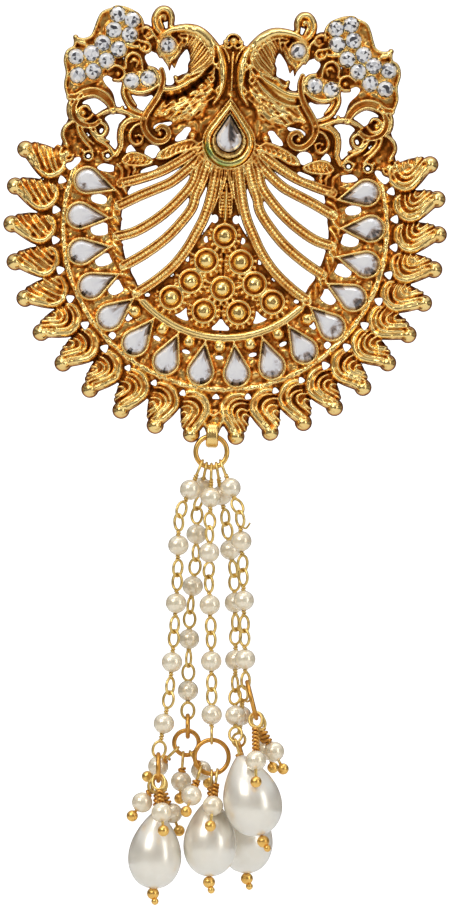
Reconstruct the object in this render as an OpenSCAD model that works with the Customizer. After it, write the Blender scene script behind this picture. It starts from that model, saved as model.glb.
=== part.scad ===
// Ornamental hair bun pin: a pierced cast plate set with stones, a pearl tassel and a two-legged pin.
// Millimetres, +Z up. The plate's flat back is the plane y = 0, and its relief faces -Y.
// The origin is on that back, at the seat of the pin, which lies against the hair.

/* [Plate] */
// Thickness of the pierced ground of the plate
ground_t = 1.3; // [1.1:0.05:1.5]
// Height of the fine raised lines above the back
line_z = 1.95; // [1.8:0.05:2.2]
// Height of the walls round the stones above the back
bezel_z = 2.3; // [2.1:0.05:2.6]
// Depth of the stones' seats above the back
seat_z = 0.8; // [0.6:0.05:1.0]
// Clockwise lean of the hanging plate, in degrees
plate_lean = 2.6; // [0:0.2:4]

/* [Rim] */
// Radius of the middle of the inner ring
ring_r = 16.4; // [16.2:0.1:16.6]
// Radius of the middle of the granular outer band
band_r = 24.3; // [24.1:0.1:24.5]
// Radius at which the round ends of the teardrop stones are centred
rim_stone_r = 21.9; // [21.7:0.1:22.1]
// Radius of the round end of a rim stone's seat
rim_seat_r = 1.8; // [1.6:0.05:1.9]
// Wall round a rim stone
rim_wall = 0.4; // [0.3:0.05:0.5]

/* [Centre stone] */
// Radius of the round end of the centre stone's seat
centre_seat_r = 1.95; // [1.8:0.05:2.1]
// Radius of the round end of the outer frame
centre_frame_r = 4.0; // [3.9:0.05:4.1]

/* [Small round stones] */
// Radius of a small round stone
chaton_r = 1.05; // [0.95:0.05:1.1]

/* [Fringe] */
// Radius at which the ball tips are centred at the bottom of the plate
fringe_r = 31.4; // [31:0.1:31.8]

/* [Pin] */
// Radius of the pin's wire
pin_wire_r = 0.75; // [0.65:0.05:0.85]
// Distance from the middle of one leg to the middle of the other
leg_gap = 8; // [7.6:0.2:8.4]
// How far the legs reach behind the plate
leg_reach = 57; // [45:1:70]

/* [Tassel] */
// Radius of a small pearl
pearl_r = 1.55; // [1.45:0.05:1.6]
// Radius of the drilled hole in every pearl
bore_r = 0.3; // [0.28:0.01:0.34]
// Radius of the thin wire
wire_r = 0.2; // [0.18:0.01:0.22]
// Radius of the middle line of a wire eye
eye_r = 0.95; // [0.9:0.01:1.0]
// Radius of the wire of the jump rings
jump_wire_r = 0.34; // [0.3:0.01:0.36]
// Greatest radius of a drop pearl
drop_r = 4.0; // [3.8:0.1:4.2]

/* [Hidden] */
$fn = 32;
gap = 0.1;

// The flat back and the table of a cut stone, as shares of its girdle
back_share = 0.9;
table_share = 0.62;

// The middle of the round panel, seen from the origin
panel_x = -0.70;
panel_z = -15.48;

// Angles from the lowest point of the panel: the first rim stone, then the step to the next
rim_first = 7.15;
rim_step = 14.2;
rim_count = 8;
stone_tip = 4.25;
rim_end = 112.6;

// Fringe leaves on each side: the first ball's angle from the bottom, the last one's, and how many
fringe_left = [6.9, 109, 11];
fringe_right = [5.8, 109.8, 12];
fringe_root_r = 24.6;

// One leaf of the fringe and its ball tip: x runs out from the root, y towards the plate's lowest point.
// The spine's points also have their height.
leaf_outline = [[-1.2, -1.6], [1.2, -2.0], [2.8, -2.0], [4.8, -0.9], [5.7, -1.05], [7.0, -0.9], [7.45, 0],
    [7.0, 0.9], [5.7, 1.05], [2.7, 1.85], [-1.2, 1.6]];
leaf_spine = [[-1.2, 0.05, 1.83], [1.0, 0.9, 2.4], [2.6, 1.0, 2.4], [4.9, 0.1, 1.9], [6.35, 0.0, 2.6]];

// The left ray lines, from the centre out to the ring; the right ones mirror them
rays = [
    [[-3.8, 12.3], [-5.3, 11.2], [-7.5, 9.7], [-10, 8.4], [-13, 7.3], [-15.9, 6.4]],
    [[-3.7, 11.7], [-4.8, 10.0], [-6.2, 8.4], [-8.3, 6.6], [-10, 5.7], [-13, 4.3], [-16.15, 2.75]],
    [[-3.3, 11.1], [-4.3, 9.0], [-5.2, 6.5], [-6.9, 4.2], [-8.8, 2.2], [-11, 0.4], [-13.6, -1.2],
        [-16.2, -2.0]],
    [[-2.7, 10.6], [-3.6, 7.4], [-4.5, 4.9], [-5.2, 2.8], [-6.9, 0.2], [-9.1, -2.2], [-12, -4.6],
        [-15, -6.5]],
    [[-1.5, 10.1], [-2.4, 4.4], [-3.2, 1.5], [-4.2, -0.7], [-5.6, -3.4], [-7.5, -6.0], [-10.1, -8.5],
        [-12.9, -10.5]]
];
ray_w = 1.15;

// The ten round studs, and the small balls that lie against the ring
studs = [[0, -1.2], [-2.6, -5.0], [2.6, -5.0], [-4.8, -8.2], [0, -9.1], [4.8, -8.2], [-7.6, -10.8],
    [-2.6, -12.6], [2.6, -12.6], [7.6, -10.8]];
stud_r = 2.2;
// The ground of the studs, and its gaps: the left half and, mirrored, the right
stud_field = [[0, 1.4], [-1.7, 1.4], [-4.6, -2.8], [-8.2, -7.4], [-12.9, -10.9], [-8.6, -14.2],
    [-4.2, -15.9], [0, -16.2]];
stud_gaps = [[[-3.3, -1.7], [-2.6, -1.5], [-2.8, -2.5]], [[-5.9, -5.2], [-5.2, -4.4], [-4.9, -5.3]],
    [[-8.1, -7.9], [-7.8, -6.9], [-7.2, -7.7]], [[-7.4, -13.0], [-6.1, -12.0], [-5.3, -12.2], [-4.7, -14.0]],
    [[-1.2, -14.8], [0, -13.6], [0.1, -15.0]]];
ring_balls = [[0, -17.8], [-4.6, -17.3], [4.6, -17.3], [-8.7, -15.6], [8.7, -15.6], [-13.0, -13.1],
    [13.0, -13.1]];

// The centre of the top setting and the tips of its frame and its stone
centre_v = 13.2;
centre_frame_tip = 6.9;
centre_seat_tip = 3.8;

// The small round stones of the left side, and the outline of the ground that holds them
chatons = [[-17.5, 31.3], [-15.3, 30.6], [-18.0, 28.95], [-15.6, 28.3], [-19.6, 26.9], [-17.2, 26.1],
    [-23.5, 24.7], [-21.2, 25.3], [-18.9, 24.3], [-20.8, 22.6], [-23.1, 21.9], [-15.0, 21.4], [-12.5, 21.9],
    [-9.8, 27.0]];
cluster_outline = [[-24.9, 23.6], [-24.8, 25.4], [-23.8, 26.2], [-23.8, 27.4], [-22.6, 27.4], [-21.4, 27.9],
    [-20.9, 29.0], [-20.3, 30.4], [-19.4, 31.9], [-17.6, 32.6], [-15.8, 32.2], [-14.1, 31.4], [-13.5, 29.6],
    [-13.7, 28.0], [-15.2, 26.8], [-16.2, 24.9], [-17.6, 23.9], [-18.6, 22.6], [-19.6, 20.9], [-21.3, 20.0],
    [-22.9, 19.2], [-24.5, 18.6], [-24.9, 20.6]];

// The left peacock: its body, head and beak, and the sweep of its feathers
bird_outline = [[-9.4, 29.6], [-8.0, 30.0], [-6.6, 30.2], [-4.8, 29.7], [-3.0, 28.3], [-1.7, 27.0],
    [-1.0, 25.2], [-0.8, 22.5], [-0.6, 19.6], [-3.6, 17.6], [-4.0, 14.6], [-6.0, 14.6], [-7.2, 15.4],
    [-8.6, 15.2], [-10.2, 15.9], [-11.6, 16.1], [-11.3, 17.6], [-10.2, 19.2], [-10.0, 20.7],
    [-8.9, 21.2], [-8.6, 22.4], [-7.2, 22.4], [-6.4, 23.6], [-6.6, 26.0], [-7.4, 25.4], [-8.6, 25.0],
    [-9.4, 23.3], [-10.4, 25.1], [-11.1, 26.4], [-11.0, 28.0]];
bird_breast = [[-10.6, 16.8], [-8.4, 15.9], [-5.6, 16.4], [-3.6, 18.6], [-3.0, 21.2], [-4.6, 21.4],
    [-6.3, 19.9], [-9.6, 18.7]];
bird_ridges = [
    [[-7.6, 29.6], [-5.4, 29.3], [-3.5, 27.9], [-2.2, 26.2], [-1.6, 24.2], [-1.7, 20.6]],
    [[-5.6, 28.6], [-4.6, 26.6], [-5.0, 24.8], [-6.2, 23.9]],
    [[-4.4, 27.6], [-3.7, 25.6], [-4.6, 23.8], [-6.0, 22.8]],
    [[-3.2, 26.6], [-2.9, 24.6], [-3.9, 22.9], [-5.4, 21.9], [-8.0, 21.0], [-9.8, 20.4]]
];

// The scrolls of the left side, each a path and a width
scrolls = [
    [[[-23.4, 18.3], [-20.9, 19.2], [-18.4, 18.3], [-17.3, 16.9]], 1.3],
    [[[-19.9, 15.9], [-18.5, 16.8], [-17, 17.0], [-15.2, 16.5], [-13.6, 15.9]], 1.0],
    [[[-22.9, 18.4], [-23.5, 16.7], [-23.0, 15.2], [-21.6, 14.5], [-20.0, 15.0], [-20.4, 16.5],
        [-22.0, 17.1]], 1.2],
    [[[-23.6, 14.8], [-24.4, 13.5], [-24.4, 12.2], [-24.2, 10.6], [-23.8, 9.4]], 1.0],
    [[[-22.8, 14.5], [-22.4, 13], [-21.1, 11.6], [-19.9, 10.4], [-20.5, 9.2], [-21.8, 9.4],
        [-22.0, 10.8]], 1.0],
    [[[-20.3, 14.6], [-19.0, 14.6], [-18.5, 13.6], [-19.1, 12.7], [-20.3, 13.0]], 0.8],
    [[[-21, 14.2], [-20.4, 12.8], [-18.2, 11.5], [-17.3, 10.4], [-17.8, 9.5], [-19.0, 9.9],
        [-19.1, 10.9]], 1.0],
    [[[-12.9, 16.2], [-14.8, 15.8], [-16.1, 14.8], [-16.2, 13.2], [-16.2, 11.6], [-17.0, 10.2]], 1.0],
    [[[-13.2, 15.0], [-14.6, 14.2], [-14.8, 12.9], [-13.8, 12.0], [-13.2, 13.1]], 0.8],
    [[[-11.0, 21.5], [-10.8, 19.6], [-12.2, 17.2], [-13.0, 15.2], [-11.8, 13.0], [-10.0, 12.6], [-9.1, 13.8],
        [-10.2, 14.7]], 1.2],
    [[[-16.0, 20.6], [-15.6, 18.6], [-14.6, 17.2], [-12.8, 16.8]], 1.1],
    [[[-15.9, 23.9], [-14.8, 24.9], [-13.8, 24.3], [-14.1, 22.8]], 1.0],
    [[[-18.3, 22.6], [-17.2, 23.2], [-16.3, 22.5], [-16.4, 21.4]], 1.0],
    [[[-11.4, 28.2], [-11.7, 30.6], [-10.9, 32.0], [-9.8, 31.2], [-9.6, 29.6]], 0.9],
    [[[-14.6, 28.6], [-12.4, 27.9], [-11.2, 26.0]], 2.0]
];
leaf_blocks = [
    [[-17.2, 9.0], [-15.4, 10.6], [-13.4, 10.6], [-11.2, 9.7], [-11.2, 8.9], [-13.3, 8.6], [-13.6, 6.8],
        [-16.6, 5.8]],
    [[-10.7, 9.6], [-10.2, 11.1], [-7.6, 12.5], [-5.6, 13.0], [-4.2, 11.6], [-6.0, 11.2], [-8.6, 10.0]]
];
pair_ground = [[-16.4, 21.0], [-15.0, 19.9], [-12.4, 20.2], [-10.9, 21.6], [-11.4, 23.2], [-13.0, 23.4],
    [-15.4, 22.9]];
scroll_balls = [[-5.5, 13.7], [-22.0, 16.9], [-24.2, 10.2], [-21.1, 10.2], [-13.9, 13.1]];

// The bail in the plate's lowest point, and the lugs that hold the pin's bar
bail_u = -0.5;
bail_v = -31.1;
bail_w = 1.75;
bail_axis_z = 1.5;
bail_outer_r = 1.5;
bail_inner_r = 0.75;
bar_y = 1.35;
lug_x = 1.5;
lug_w = 1.2;
pin_bend_r = 1.8;

// The tassel's rings: their middles and radii
top_ring_at = [-2.75, -1.5, -49.05];
top_ring_r = 2.35;
ring_a_at = [-10.7, -2.4, -96.4];
ring_b_at = [-6.3, 0.6, -90.3];
ring_b_r = 1.6;
ring_b2_at = [-6.5, 0.6, -92.94];
ring_b2_r = 1.85;
ring_c_at = [-2.7, -2.4, -94.8];
ring_c_r = 2.55;
ring_d_at = [1.8, 3.95, -94.8];
ring_d_lean = -15;
ring_e_at = [3.31, -3.12, -86.27];
ring_e_r = 2.8;
ring_e_lean = -14;
small_ring_r = 2.0;

// Clearance between two wires that hold each other
link_gap = 0.2;
// Half the distance between the middles of two eyes that hold each other
eye_inset = eye_r - wire_r - link_gap / 2;
// From the wire of a jump ring to the middle of an eye that hangs on it
ring_inset = eye_r - wire_r - jump_wire_r - 0.16;

// Where each strand is hinged: on the top ring, at its four links, and on its lowest ring or drop
strand_joints = [
    [ring_point(-40), [-7.6, -4.6, -58.6], [-7.8, -2.9, -67.5], [-8.3, -2.5, -76.0], [-9.0, -2.4, -85.2],
        edge_point(ring_a_at, small_ring_r, 0, 180)],
    [ring_point(-20), [-4.9, 1.8, -57.6], [-5.1, 1.2, -65.3], [-6.0, 0.8, -73.2], [-6.2, 0.7, -81.2],
        edge_point(ring_b_at, ring_b_r, 0, 180)],
    [ring_point(0), [-3.0, -4.4, -60.4], [-3.15, -2.7, -67.8], [-2.8, -2.5, -76.2], [-2.7, -2.4, -84.7],
        face_point(ring_c_at, ring_c_r, 180)],
    [ring_point(20), [-0.5, 1.9, -59.9], [0.7, 1.6, -67.7], [0.9, 1.6, -75.8], [0.8, -0.7, -84.9],
        [0.9, -4.6, -92.3]],
    [ring_point(40), [1.5, -4.6, -58.1], [2.0, -2.8, -66.8], [2.2, -3.0, -75.9], [2.4, -2.4, -84.4],
        edge_point(ring_d_at, small_ring_r, ring_d_lean, 205)]
];
// The lowest pin of the fifth strand hangs this far beside the eye above it, which also holds ring_e
beside_ring_e = [-0.32, 0, 0.02];
// Turn of the last eye of each strand: 90 faces the front, which suits a ring seen from its edge
last_turn = [90, 90, 0, 90, 90];

// Each drop pearl: where its pin hangs, where its end ball lies, the depth of the drop's top, its length,
// and the turn of the pin's eye
drops = [
    [edge_point(ring_a_at, small_ring_r, 0, 0), [-11.5, -2.1, -115.3], 4.3, 11.9, 90],
    [face_point(ring_c_at, ring_c_r, 0), [-3.1, -2.2, -113.6], 3.4, 12.0, 0],
    [[0.9, -4.6, -92.3], [5.0, -5.9, -107.3], 1.95, 12.7, 0],
    [edge_point(ring_d_at, small_ring_r, ring_d_lean, 0), [2.6, 5.4, -113.5], 3.9, 12.1, 90]
];

// Each small hanging pearl: where its pin hangs, its end ball, the pearl's place along the pin as a share
// of its length, and the turn of its eye
charms = [
    [edge_point(ring_a_at, small_ring_r, 0, -15), [-14.6, -3.4, -103.6], 0.62, 90],
    [edge_point(ring_a_at, small_ring_r, 0, -44), [-9.9, -7.6, -105.6], 0.66, 90],
    [edge_point(ring_a_at, small_ring_r, 0, 24), [-7.6, 0.2, -106.0], 0.66, 90],
    [face_point(ring_b2_at, ring_b2_r, -16), [-7.5, 1.1, -101.2], 0.6, 0],
    [face_point(ring_b2_at, ring_b2_r, 26), [-3.2, 4.4, -99.0], 0.56, 0],
    [face_point(ring_b2_at, ring_b2_r, -60), [-12.4, 3.6, -98.0], 0.62, 0],
    [face_point(ring_c_at, ring_c_r, -42), [-6.5, -6.2, -102.8], 0.62, 0],
    [face_point(ring_c_at, ring_c_r, 18), [-2.9, -7.4, -104.9], 0.62, 0],
    [edge_point(ring_e_at, ring_e_r, ring_e_lean, -32), [3.9, -10.3, -98.2], 0.68, 90],
    [edge_point(ring_e_at, ring_e_r, ring_e_lean, 0), [8.0, -2.6, -96.6], 0.66, 90],
    [edge_point(ring_e_at, ring_e_r, ring_e_lean, 30), [6.5, 1.9, -96.6], 0.66, 90]
];
charm_ball_r = 0.85;
drop_ball_r = 0.9;
// The drop in front is a little fatter than the others
front_drop_r = drop_r * 1.09;
// Between a pearl and the wrapped wire above or below it
wrap_gap = 0.06;

gold = "goldenrod";
pearl = "ivory";
crystal = "lavender";

// A point on the wire of a ring that faces the front, at an angle from its lowest point towards the right
function face_point(middle, r, a) = middle + r * [sin(a), 0, -cos(a)];

// A point on the wire of a ring seen from its edge and leaning about Y, at an angle from its lowest point
// towards the back
function edge_point(middle, r, lean, a) = middle + r * [-cos(a) * sin(lean), sin(a), -cos(a) * cos(lean)];

function ring_point(a) = face_point(top_ring_at, top_ring_r, a);

// A point of the panel at an angle from its lowest point, positive to the right
function around(r, a) = [r * sin(a), -r * cos(a)];

// Points mirrored to the other side of the plate's axis
function flipped(points) = [for (p = points) [-p[0], p[1]]];

// The unit normal of a path at its point i, from its neighbours
function side_of(path, i) =
    let (a = path[max(i - 1, 0)], b = path[min(i + 1, len(path) - 1)], d = b - a)
    [-d[1], d[0]] / norm(d);

// The outline of a stroke of the given width along a path
function stroke_outline(path, w) = concat(
    [for (i = [0:len(path) - 1]) path[i] + side_of(path, i) * w / 2],
    [for (i = [len(path) - 1:-1:0]) path[i] - side_of(path, i) * w / 2]
);

// A teardrop: a round end about the origin and a tip along +x, in n steps round the end
function teardrop(r, tip, n) =
    let (a = acos(r / tip))
    concat([[tip, 0]], [for (i = [0:n]) let (t = a + (360 - 2 * a) * i / n) r * [cos(t), sin(t)]]);

// A stretch of a circle as points
function arc(r, from, to, n) = [for (i = [0:n]) around(r, from + (to - from) * i / n)];

// Puts children drawn in the plate's own plane, with z as height above its back, where the plate hangs
module on_plate() {
    translate([panel_x, 0, panel_z]) rotate([0, plate_lean, 0]) rotate([90, 0, 0]) children();
}

// Draws children on the left and, mirrored, on the right
module both_sides() {
    children();
    mirror([1, 0, 0]) children();
}

// A raised line with a roof-shaped section along a path
module ridge(path, w, top) {
    n = len(path);
    low = ground_t - 0.3;
    left = [for (i = [0:n - 1]) let (p = path[i] + side_of(path, i) * w / 2) [p[0], p[1], low]];
    high = [for (i = [0:n - 1]) [path[i][0], path[i][1], top]];
    right = [for (i = [0:n - 1]) let (p = path[i] - side_of(path, i) * w / 2) [p[0], p[1], low]];
    walls = [for (i = [0:n - 2]) each [
        [i, i + 1, n + i + 1], [i, n + i + 1, n + i],
        [n + i, n + i + 1, 2 * n + i + 1], [n + i, 2 * n + i + 1, 2 * n + i],
        [2 * n + i, 2 * n + i + 1, i + 1], [2 * n + i, i + 1, i]
    ]];
    ends = [[0, n, 2 * n], [n - 1, 3 * n - 1, 2 * n - 1]];
    polyhedron(concat(left, high, right), concat(walls, ends), convexity = 6);
}

// A bar from the plate's back up to a roof-shaped top, along a path
module bar(path, w, top) {
    n = len(path);
    shoulder = top - w * 0.45;
    function section(i) =
        let (side = side_of(path, i) * w / 2, a = path[i] + side, b = path[i] - side)
        [[a[0], a[1], 0], [a[0], a[1], shoulder], [path[i][0], path[i][1], top], [b[0], b[1], shoulder],
            [b[0], b[1], 0]];
    walls = [for (i = [0:n - 2], k = [0:4]) let (a = 5 * i + k, b = 5 * i + (k + 1) % 5) each [
        [a, a + 5, b + 5], [a, b + 5, b]
    ]];
    ends = [[0, 1, 2, 3, 4], [for (k = [4:-1:0]) 5 * n - 5 + k]];
    polyhedron([for (i = [0:n - 1]) each section(i)], concat(walls, ends), convexity = 6);
}

// A leaf of the fringe: its outline up to the ground's top, and a roof from there up to its raised spine
module leaf() {
    n = len(leaf_outline);
    low = [for (p = leaf_outline) [p[0], p[1], 0]];
    eave = [for (p = leaf_outline) [p[0], p[1], ground_t - 0.1]];
    walls = [for (i = [0:n - 1]) let (j = (i + 1) % n) each [[i, n + i, n + j], [i, n + j, j]]];
    // Each roof face names eave points by their number and spine points by 100 more
    roof = [
        [0, 100, 101], [0, 101, 1], [1, 101, 102], [1, 102, 2], [2, 102, 103], [2, 103, 3], [3, 103, 4],
        [4, 103, 104], [4, 104, 5], [5, 104, 6], [6, 104, 7], [7, 104, 8], [8, 104, 103], [8, 103, 9],
        [9, 103, 102], [9, 102, 101], [9, 101, 10], [10, 101, 100], [10, 100, 0]
    ];
    roof_faces = [for (f = roof) [for (k = f) k < 100 ? n + k : 2 * n + k - 100]];
    floor_face = [for (i = [0:n - 1]) i];
    polyhedron(concat(low, eave, leaf_spine), concat([floor_face], walls, roof_faces), convexity = 4);
}

// A low round boss
module boss(p, r, top, sides = 7) {
    translate([p[0], p[1], 0]) hull() {
        cylinder(r = r, h = ground_t + (top - ground_t) * 0.45, $fn = sides);
        cylinder(r = r * 0.5, h = top, $fn = sides);
    }
}

// Puts children at a rim stone's round end, with +x towards the middle of the panel
module at_rim_stone(i, side) {
    a = side * (rim_first + rim_step * i);
    translate(around(rim_stone_r, a)) rotate(90 + a) children();
}

// Puts children at the root of a fringe leaf, with +x outward and +y towards the lowest point
module at_leaf(row, side, i) {
    a = row[0] + (row[1] - row[0]) * i / (row[2] - 1);
    reach = fringe_r + 0.9 * a / 110 - 6.4;
    translate(around(reach, side * a)) rotate(side * a - 90) scale([1, -side, 1]) children();
}

module every_leaf() {
    for (i = [0:fringe_left[2] - 1]) at_leaf(fringe_left, -1, i) children();
    for (i = [0:fringe_right[2] - 1]) at_leaf(fringe_right, 1, i) children();
}

// The flat ground of the rim, with the small gaps between the bezels and beside the fringe
module rim_ground() {
    difference() {
        polygon(concat(
            arc(fringe_root_r + 0.3, -rim_end, rim_end, 32),
            arc(ring_r - 0.5, rim_end, -rim_end, 28)
        ));
        both_sides() {
            for (k = [4:7]) translate(around(18.6, rim_step * k + 2)) rotate(rim_step * k + 2)
                polygon([[-0.8, 1.0], [0.8, 1.0], [1.1, -0.6], [-1.1, -0.6]]);
            for (k = [0:3]) translate(around(19.5, rim_step * k)) circle(r = 0.45, $fn = 4);
        }
        for (i = [0:fringe_left[2] - 2]) small_gap(fringe_left, -1, i);
        for (i = [0:fringe_right[2] - 2]) small_gap(fringe_right, 1, i);
    }
}

// The small three-sided gap between the roots of two leaves
module small_gap(row, side, i) {
    a = side * (row[0] + (row[1] - row[0]) * (i + 0.5) / (row[2] - 1));
    translate(around(25.0, a)) rotate(a) circle(r = 0.5, $fn = 3);
}

// The outline of the whole pierced plate
module plate_ground() {
    rim_ground();
    polygon(teardrop_at_centre(centre_frame_r - 0.23, centre_frame_tip - 0.4, 12));
    polygon([[-1.9, 10.7], [1.9, 10.7], [1.1, 0.6], [-1.1, 0.6]]);
    both_sides() difference() {
        polygon(stud_field);
        for (hole = stud_gaps) polygon(hole);
    }
    polygon([[-1.8, -33 + 4.4], [1.8, -33 + 4.4], [1.2, -30.4], [-1.8, -30.4]]);
    polygon([[-1.7, 18.6], [1.7, 18.6], [1.0, 22.4], [1.7, 27.4], [0.6, 28.8], [-0.6, 28.8], [-1.7, 27.4],
        [-1.0, 22.4]]);
    both_sides() {
        polygon(bird_outline);
        polygon([[-6.6, 15.0], [-6.4, 12.6], [-3.3, 12.2], [-3.1, 15.6]]);
    }
}

// The centre setting's teardrop, tip up
function teardrop_at_centre(r, tip, n) = [for (p = teardrop(r, tip, n)) [-p[1], centre_v + p[0]]];

// The walls round the stones, before their seats are sunk
module bezels() {
    for (side = [-1, 1], i = [0:rim_count - 1]) at_rim_stone(i, side)
        linear_extrude(bezel_z) polygon(teardrop(rim_seat_r + rim_wall, stone_tip + 0.75, 8));
    linear_extrude(bezel_z + 0.3) difference() {
        polygon(teardrop_at_centre(centre_frame_r, centre_frame_tip, 13));
        polygon(teardrop_at_centre(centre_frame_r - 0.45, centre_frame_tip - 0.8, 13));
    }
    linear_extrude(bezel_z + 0.6)
        polygon(teardrop_at_centre(centre_seat_r + 0.75, centre_seat_tip + 1.3, 14));
}

// The raised strokes of the scrolls, and the ground of the small round stones
module scrollwork() {
    polygon(cluster_outline);
    polygon(pair_ground);
    translate(chatons[len(chatons) - 1]) circle(r = chaton_r + 0.4, $fn = 9);
    for (s = scrolls) polygon(stroke_outline(s[0], s[1]));
    for (shape = leaf_blocks) polygon(shape);
}

// The sunk seats of all the stones
module seats() {
    for (side = [-1, 1], i = [0:rim_count - 1]) at_rim_stone(i, side)
        translate([0, 0, seat_z]) linear_extrude(3) polygon(teardrop(rim_seat_r, stone_tip, 8));
    translate([0, 0, seat_z + 0.6]) linear_extrude(3)
        polygon(teardrop_at_centre(centre_seat_r, centre_seat_tip, 14));
    both_sides() for (p = chatons) translate([p[0], p[1], seat_z + 0.4])
        cylinder(r = chaton_r + gap, h = 3, $fn = 8);
}

// The raised relief: ring, band, rays, studs, balls, leaves, birds and scrolls
module relief() {
    ridge(arc(ring_r, -rim_end, rim_end, 26), 1.0, line_z + 0.2);
    ridge(arc(band_r, -rim_end + 1, rim_end - 1, 28), 0.9, line_z);
    for (p = studs) translate([p[0], p[1], 0]) rotate_extrude($fn = 8)
        polygon([[0, 0], [stud_r, 0], [stud_r, line_z], [1.4, line_z - 0.35], [0.5, 2.9], [0, 2.9]]);
    for (p = ring_balls) boss(p, 0.95, 2.6, 6);
    boss([0, 28.0], 1.0, 2.9);
    every_leaf() leaf();
    ridge([[0, 9.6], [0, 5.0], [0, 0.6]], 1.7, line_z + 0.2);
    both_sides() {
        for (path = rays) bar(path, ray_w, line_z + 0.1);
        for (p = scroll_balls) boss(p, 0.8, 2.6, 6);
        linear_extrude(bezel_z - 0.2) scrollwork();
        translate([0, 0, ground_t - 0.1]) linear_extrude(0.8) polygon(bird_breast);
        for (path = bird_ridges) ridge(path, 1.0, line_z + 0.6);
    }
}

// An oval bar that runs from side to side at the bail: its strap, or the hole through it
module bail(r, tall, w) {
    translate([bail_u, bail_v, bail_axis_z]) rotate([0, 90, 0]) scale([1, tall, 1])
        cylinder(r = r, h = w, center = true, $fn = 12);
}

// One lug behind the plate, drilled from side to side for the bar of the pin
module lug(x) {
    translate([x, 0, 0]) rotate([0, 90, 0]) difference() {
        hull() {
            translate([0, bar_y, 0]) cylinder(r = 1.35, h = lug_w, center = true, $fn = 12);
            translate([0, -0.5, 0]) cube([3.2, 0.6, lug_w], center = true);
        }
        translate([0, bar_y, 0]) cylinder(r = pin_wire_r + gap, h = lug_w + 1, center = true, $fn = 16);
    }
}

module plate() {
    color(gold) union() {
        on_plate() difference() {
            union() {
                linear_extrude(ground_t) plate_ground();
                relief();
                bezels();
                bail(bail_outer_r, 1.13, bail_w);
            }
            seats();
            bail(bail_inner_r, 1.3, bail_w + 3);
        }
        lug(-lug_x);
        lug(lug_x);
    }
}

// A flat-backed cut stone: one facet from each side of its outline up to the table
module cut_stone(outline, middle, low, girdle, top) {
    n = len(outline);
    function ring(share, z) = [for (p = outline) let (q = middle + (p - middle) * share) [q[0], q[1], z]];
    points = concat(ring(back_share, low), ring(1, girdle), ring(table_share, top));
    bands = [for (b = [0, n], i = [0:n - 1]) let (j = (i + 1) % n) each [
        [b + i, b + n + i, b + n + j], [b + i, b + n + j, b + j]
    ]];
    back = [[for (i = [0:n - 1]) i]];
    table = [[for (i = [n - 1:-1:0]) 2 * n + i]];
    polyhedron(points, concat(bands, back, table), convexity = 2);
}

module rim_stone(number) {
    side = number <= rim_count ? -1 : 1;
    i = (number - 1) % rim_count;
    color(crystal) on_plate() at_rim_stone(i, side)
        cut_stone(teardrop(rim_seat_r - gap, stone_tip - 0.25, 8), [0.35, 0], seat_z + gap, seat_z + 0.7,
            bezel_z + 0.25);
}

module centre_stone() {
    color(crystal) on_plate()
        cut_stone(teardrop_at_centre(centre_seat_r - gap, centre_seat_tip - 0.2, 13), [0, centre_v + 0.3],
            seat_z + 0.7, bezel_z, bezel_z + 1.0);
}

// A small round stone: eight crown facets, a table and a flat back
module chaton(p) {
    outline = [for (a = [0:45:315]) p + chaton_r * [cos(a), sin(a)]];
    cut_stone(outline, p, seat_z + 0.5, bezel_z - 0.3, bezel_z + 0.15);
}

module chatons_left() {
    color(crystal) on_plate() for (p = chatons) chaton(p);
}

module chatons_right() {
    color(crystal) on_plate() for (p = flipped(chatons)) chaton(p);
}

// One leg of the pin, its bend and its round tip, to the right
module leg() {
    translate([leg_gap / 2, bar_y + pin_bend_r, 0]) rotate([-90, 0, 0])
        cylinder(r = pin_wire_r, h = leg_reach - bar_y - pin_bend_r);
    translate([leg_gap / 2, leg_reach, 0]) sphere(r = pin_wire_r);
    translate([leg_gap / 2 - pin_bend_r, bar_y + pin_bend_r, 0]) rotate([0, 0, -90])
        rotate_extrude(angle = 90) translate([pin_bend_r, 0]) circle(r = pin_wire_r);
}

module hair_pin() {
    color(gold) {
        leg();
        mirror([1, 0, 0]) leg();
        translate([0, bar_y, 0]) rotate([0, 90, 0])
            cylinder(r = pin_wire_r, h = leg_gap - 2 * pin_bend_r, center = true);
    }
}

// A round wire ring standing upright; turn 0 faces the front and 90 shows its edge
module wire_ring(middle, r, wire, turn) {
    translate(middle) rotate([0, 0, turn]) rotate([90, 0, 0]) rotate_extrude()
        translate([r, 0]) circle(r = wire);
}

// A ring seen from its edge, leaning about Y
module leaning_ring(middle, r, lean) {
    translate(middle) rotate([0, lean, 0]) wire_ring([0, 0, 0], r, jump_wire_r, 90);
}

// Puts children at p with -z pointing from p to q, turned about X first and then about Y
module hang(p, q) {
    d = (q - p) / norm(q - p);
    translate(p) rotate([asin(d[1]), atan2(-d[0], -d[2]), 0]) children();
}

// The wire of one pin, hanging down from its upper eye: eyes at depths top and low, each with its turn
module eye(depth, turn) {
    wire_ring([0, 0, -depth], eye_r, wire_r, turn + 90);
}

// The coils of wire wrapped round a stem between two depths
module wrap(from, to) {
    translate([0, 0, -to]) cylinder(r = wire_r * 1.8, h = to - from);
}

// An eye pin between two joints, wrapped above and below its pearl
module eye_pin(p, q, inset_p, inset_q, turn_q) {
    length = norm(q - p);
    mid = length / 2;
    hang(p, q) {
        eye(inset_p, 0);
        eye(length - inset_q, turn_q);
        wrap(inset_p + eye_r, mid - pearl_r - wrap_gap);
        wrap(mid + pearl_r + wrap_gap, length - inset_q - eye_r);
        translate([0, 0, -length + inset_q + eye_r])
            cylinder(r = wire_r, h = length - inset_p - inset_q - 2 * eye_r);
    }
}

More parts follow.
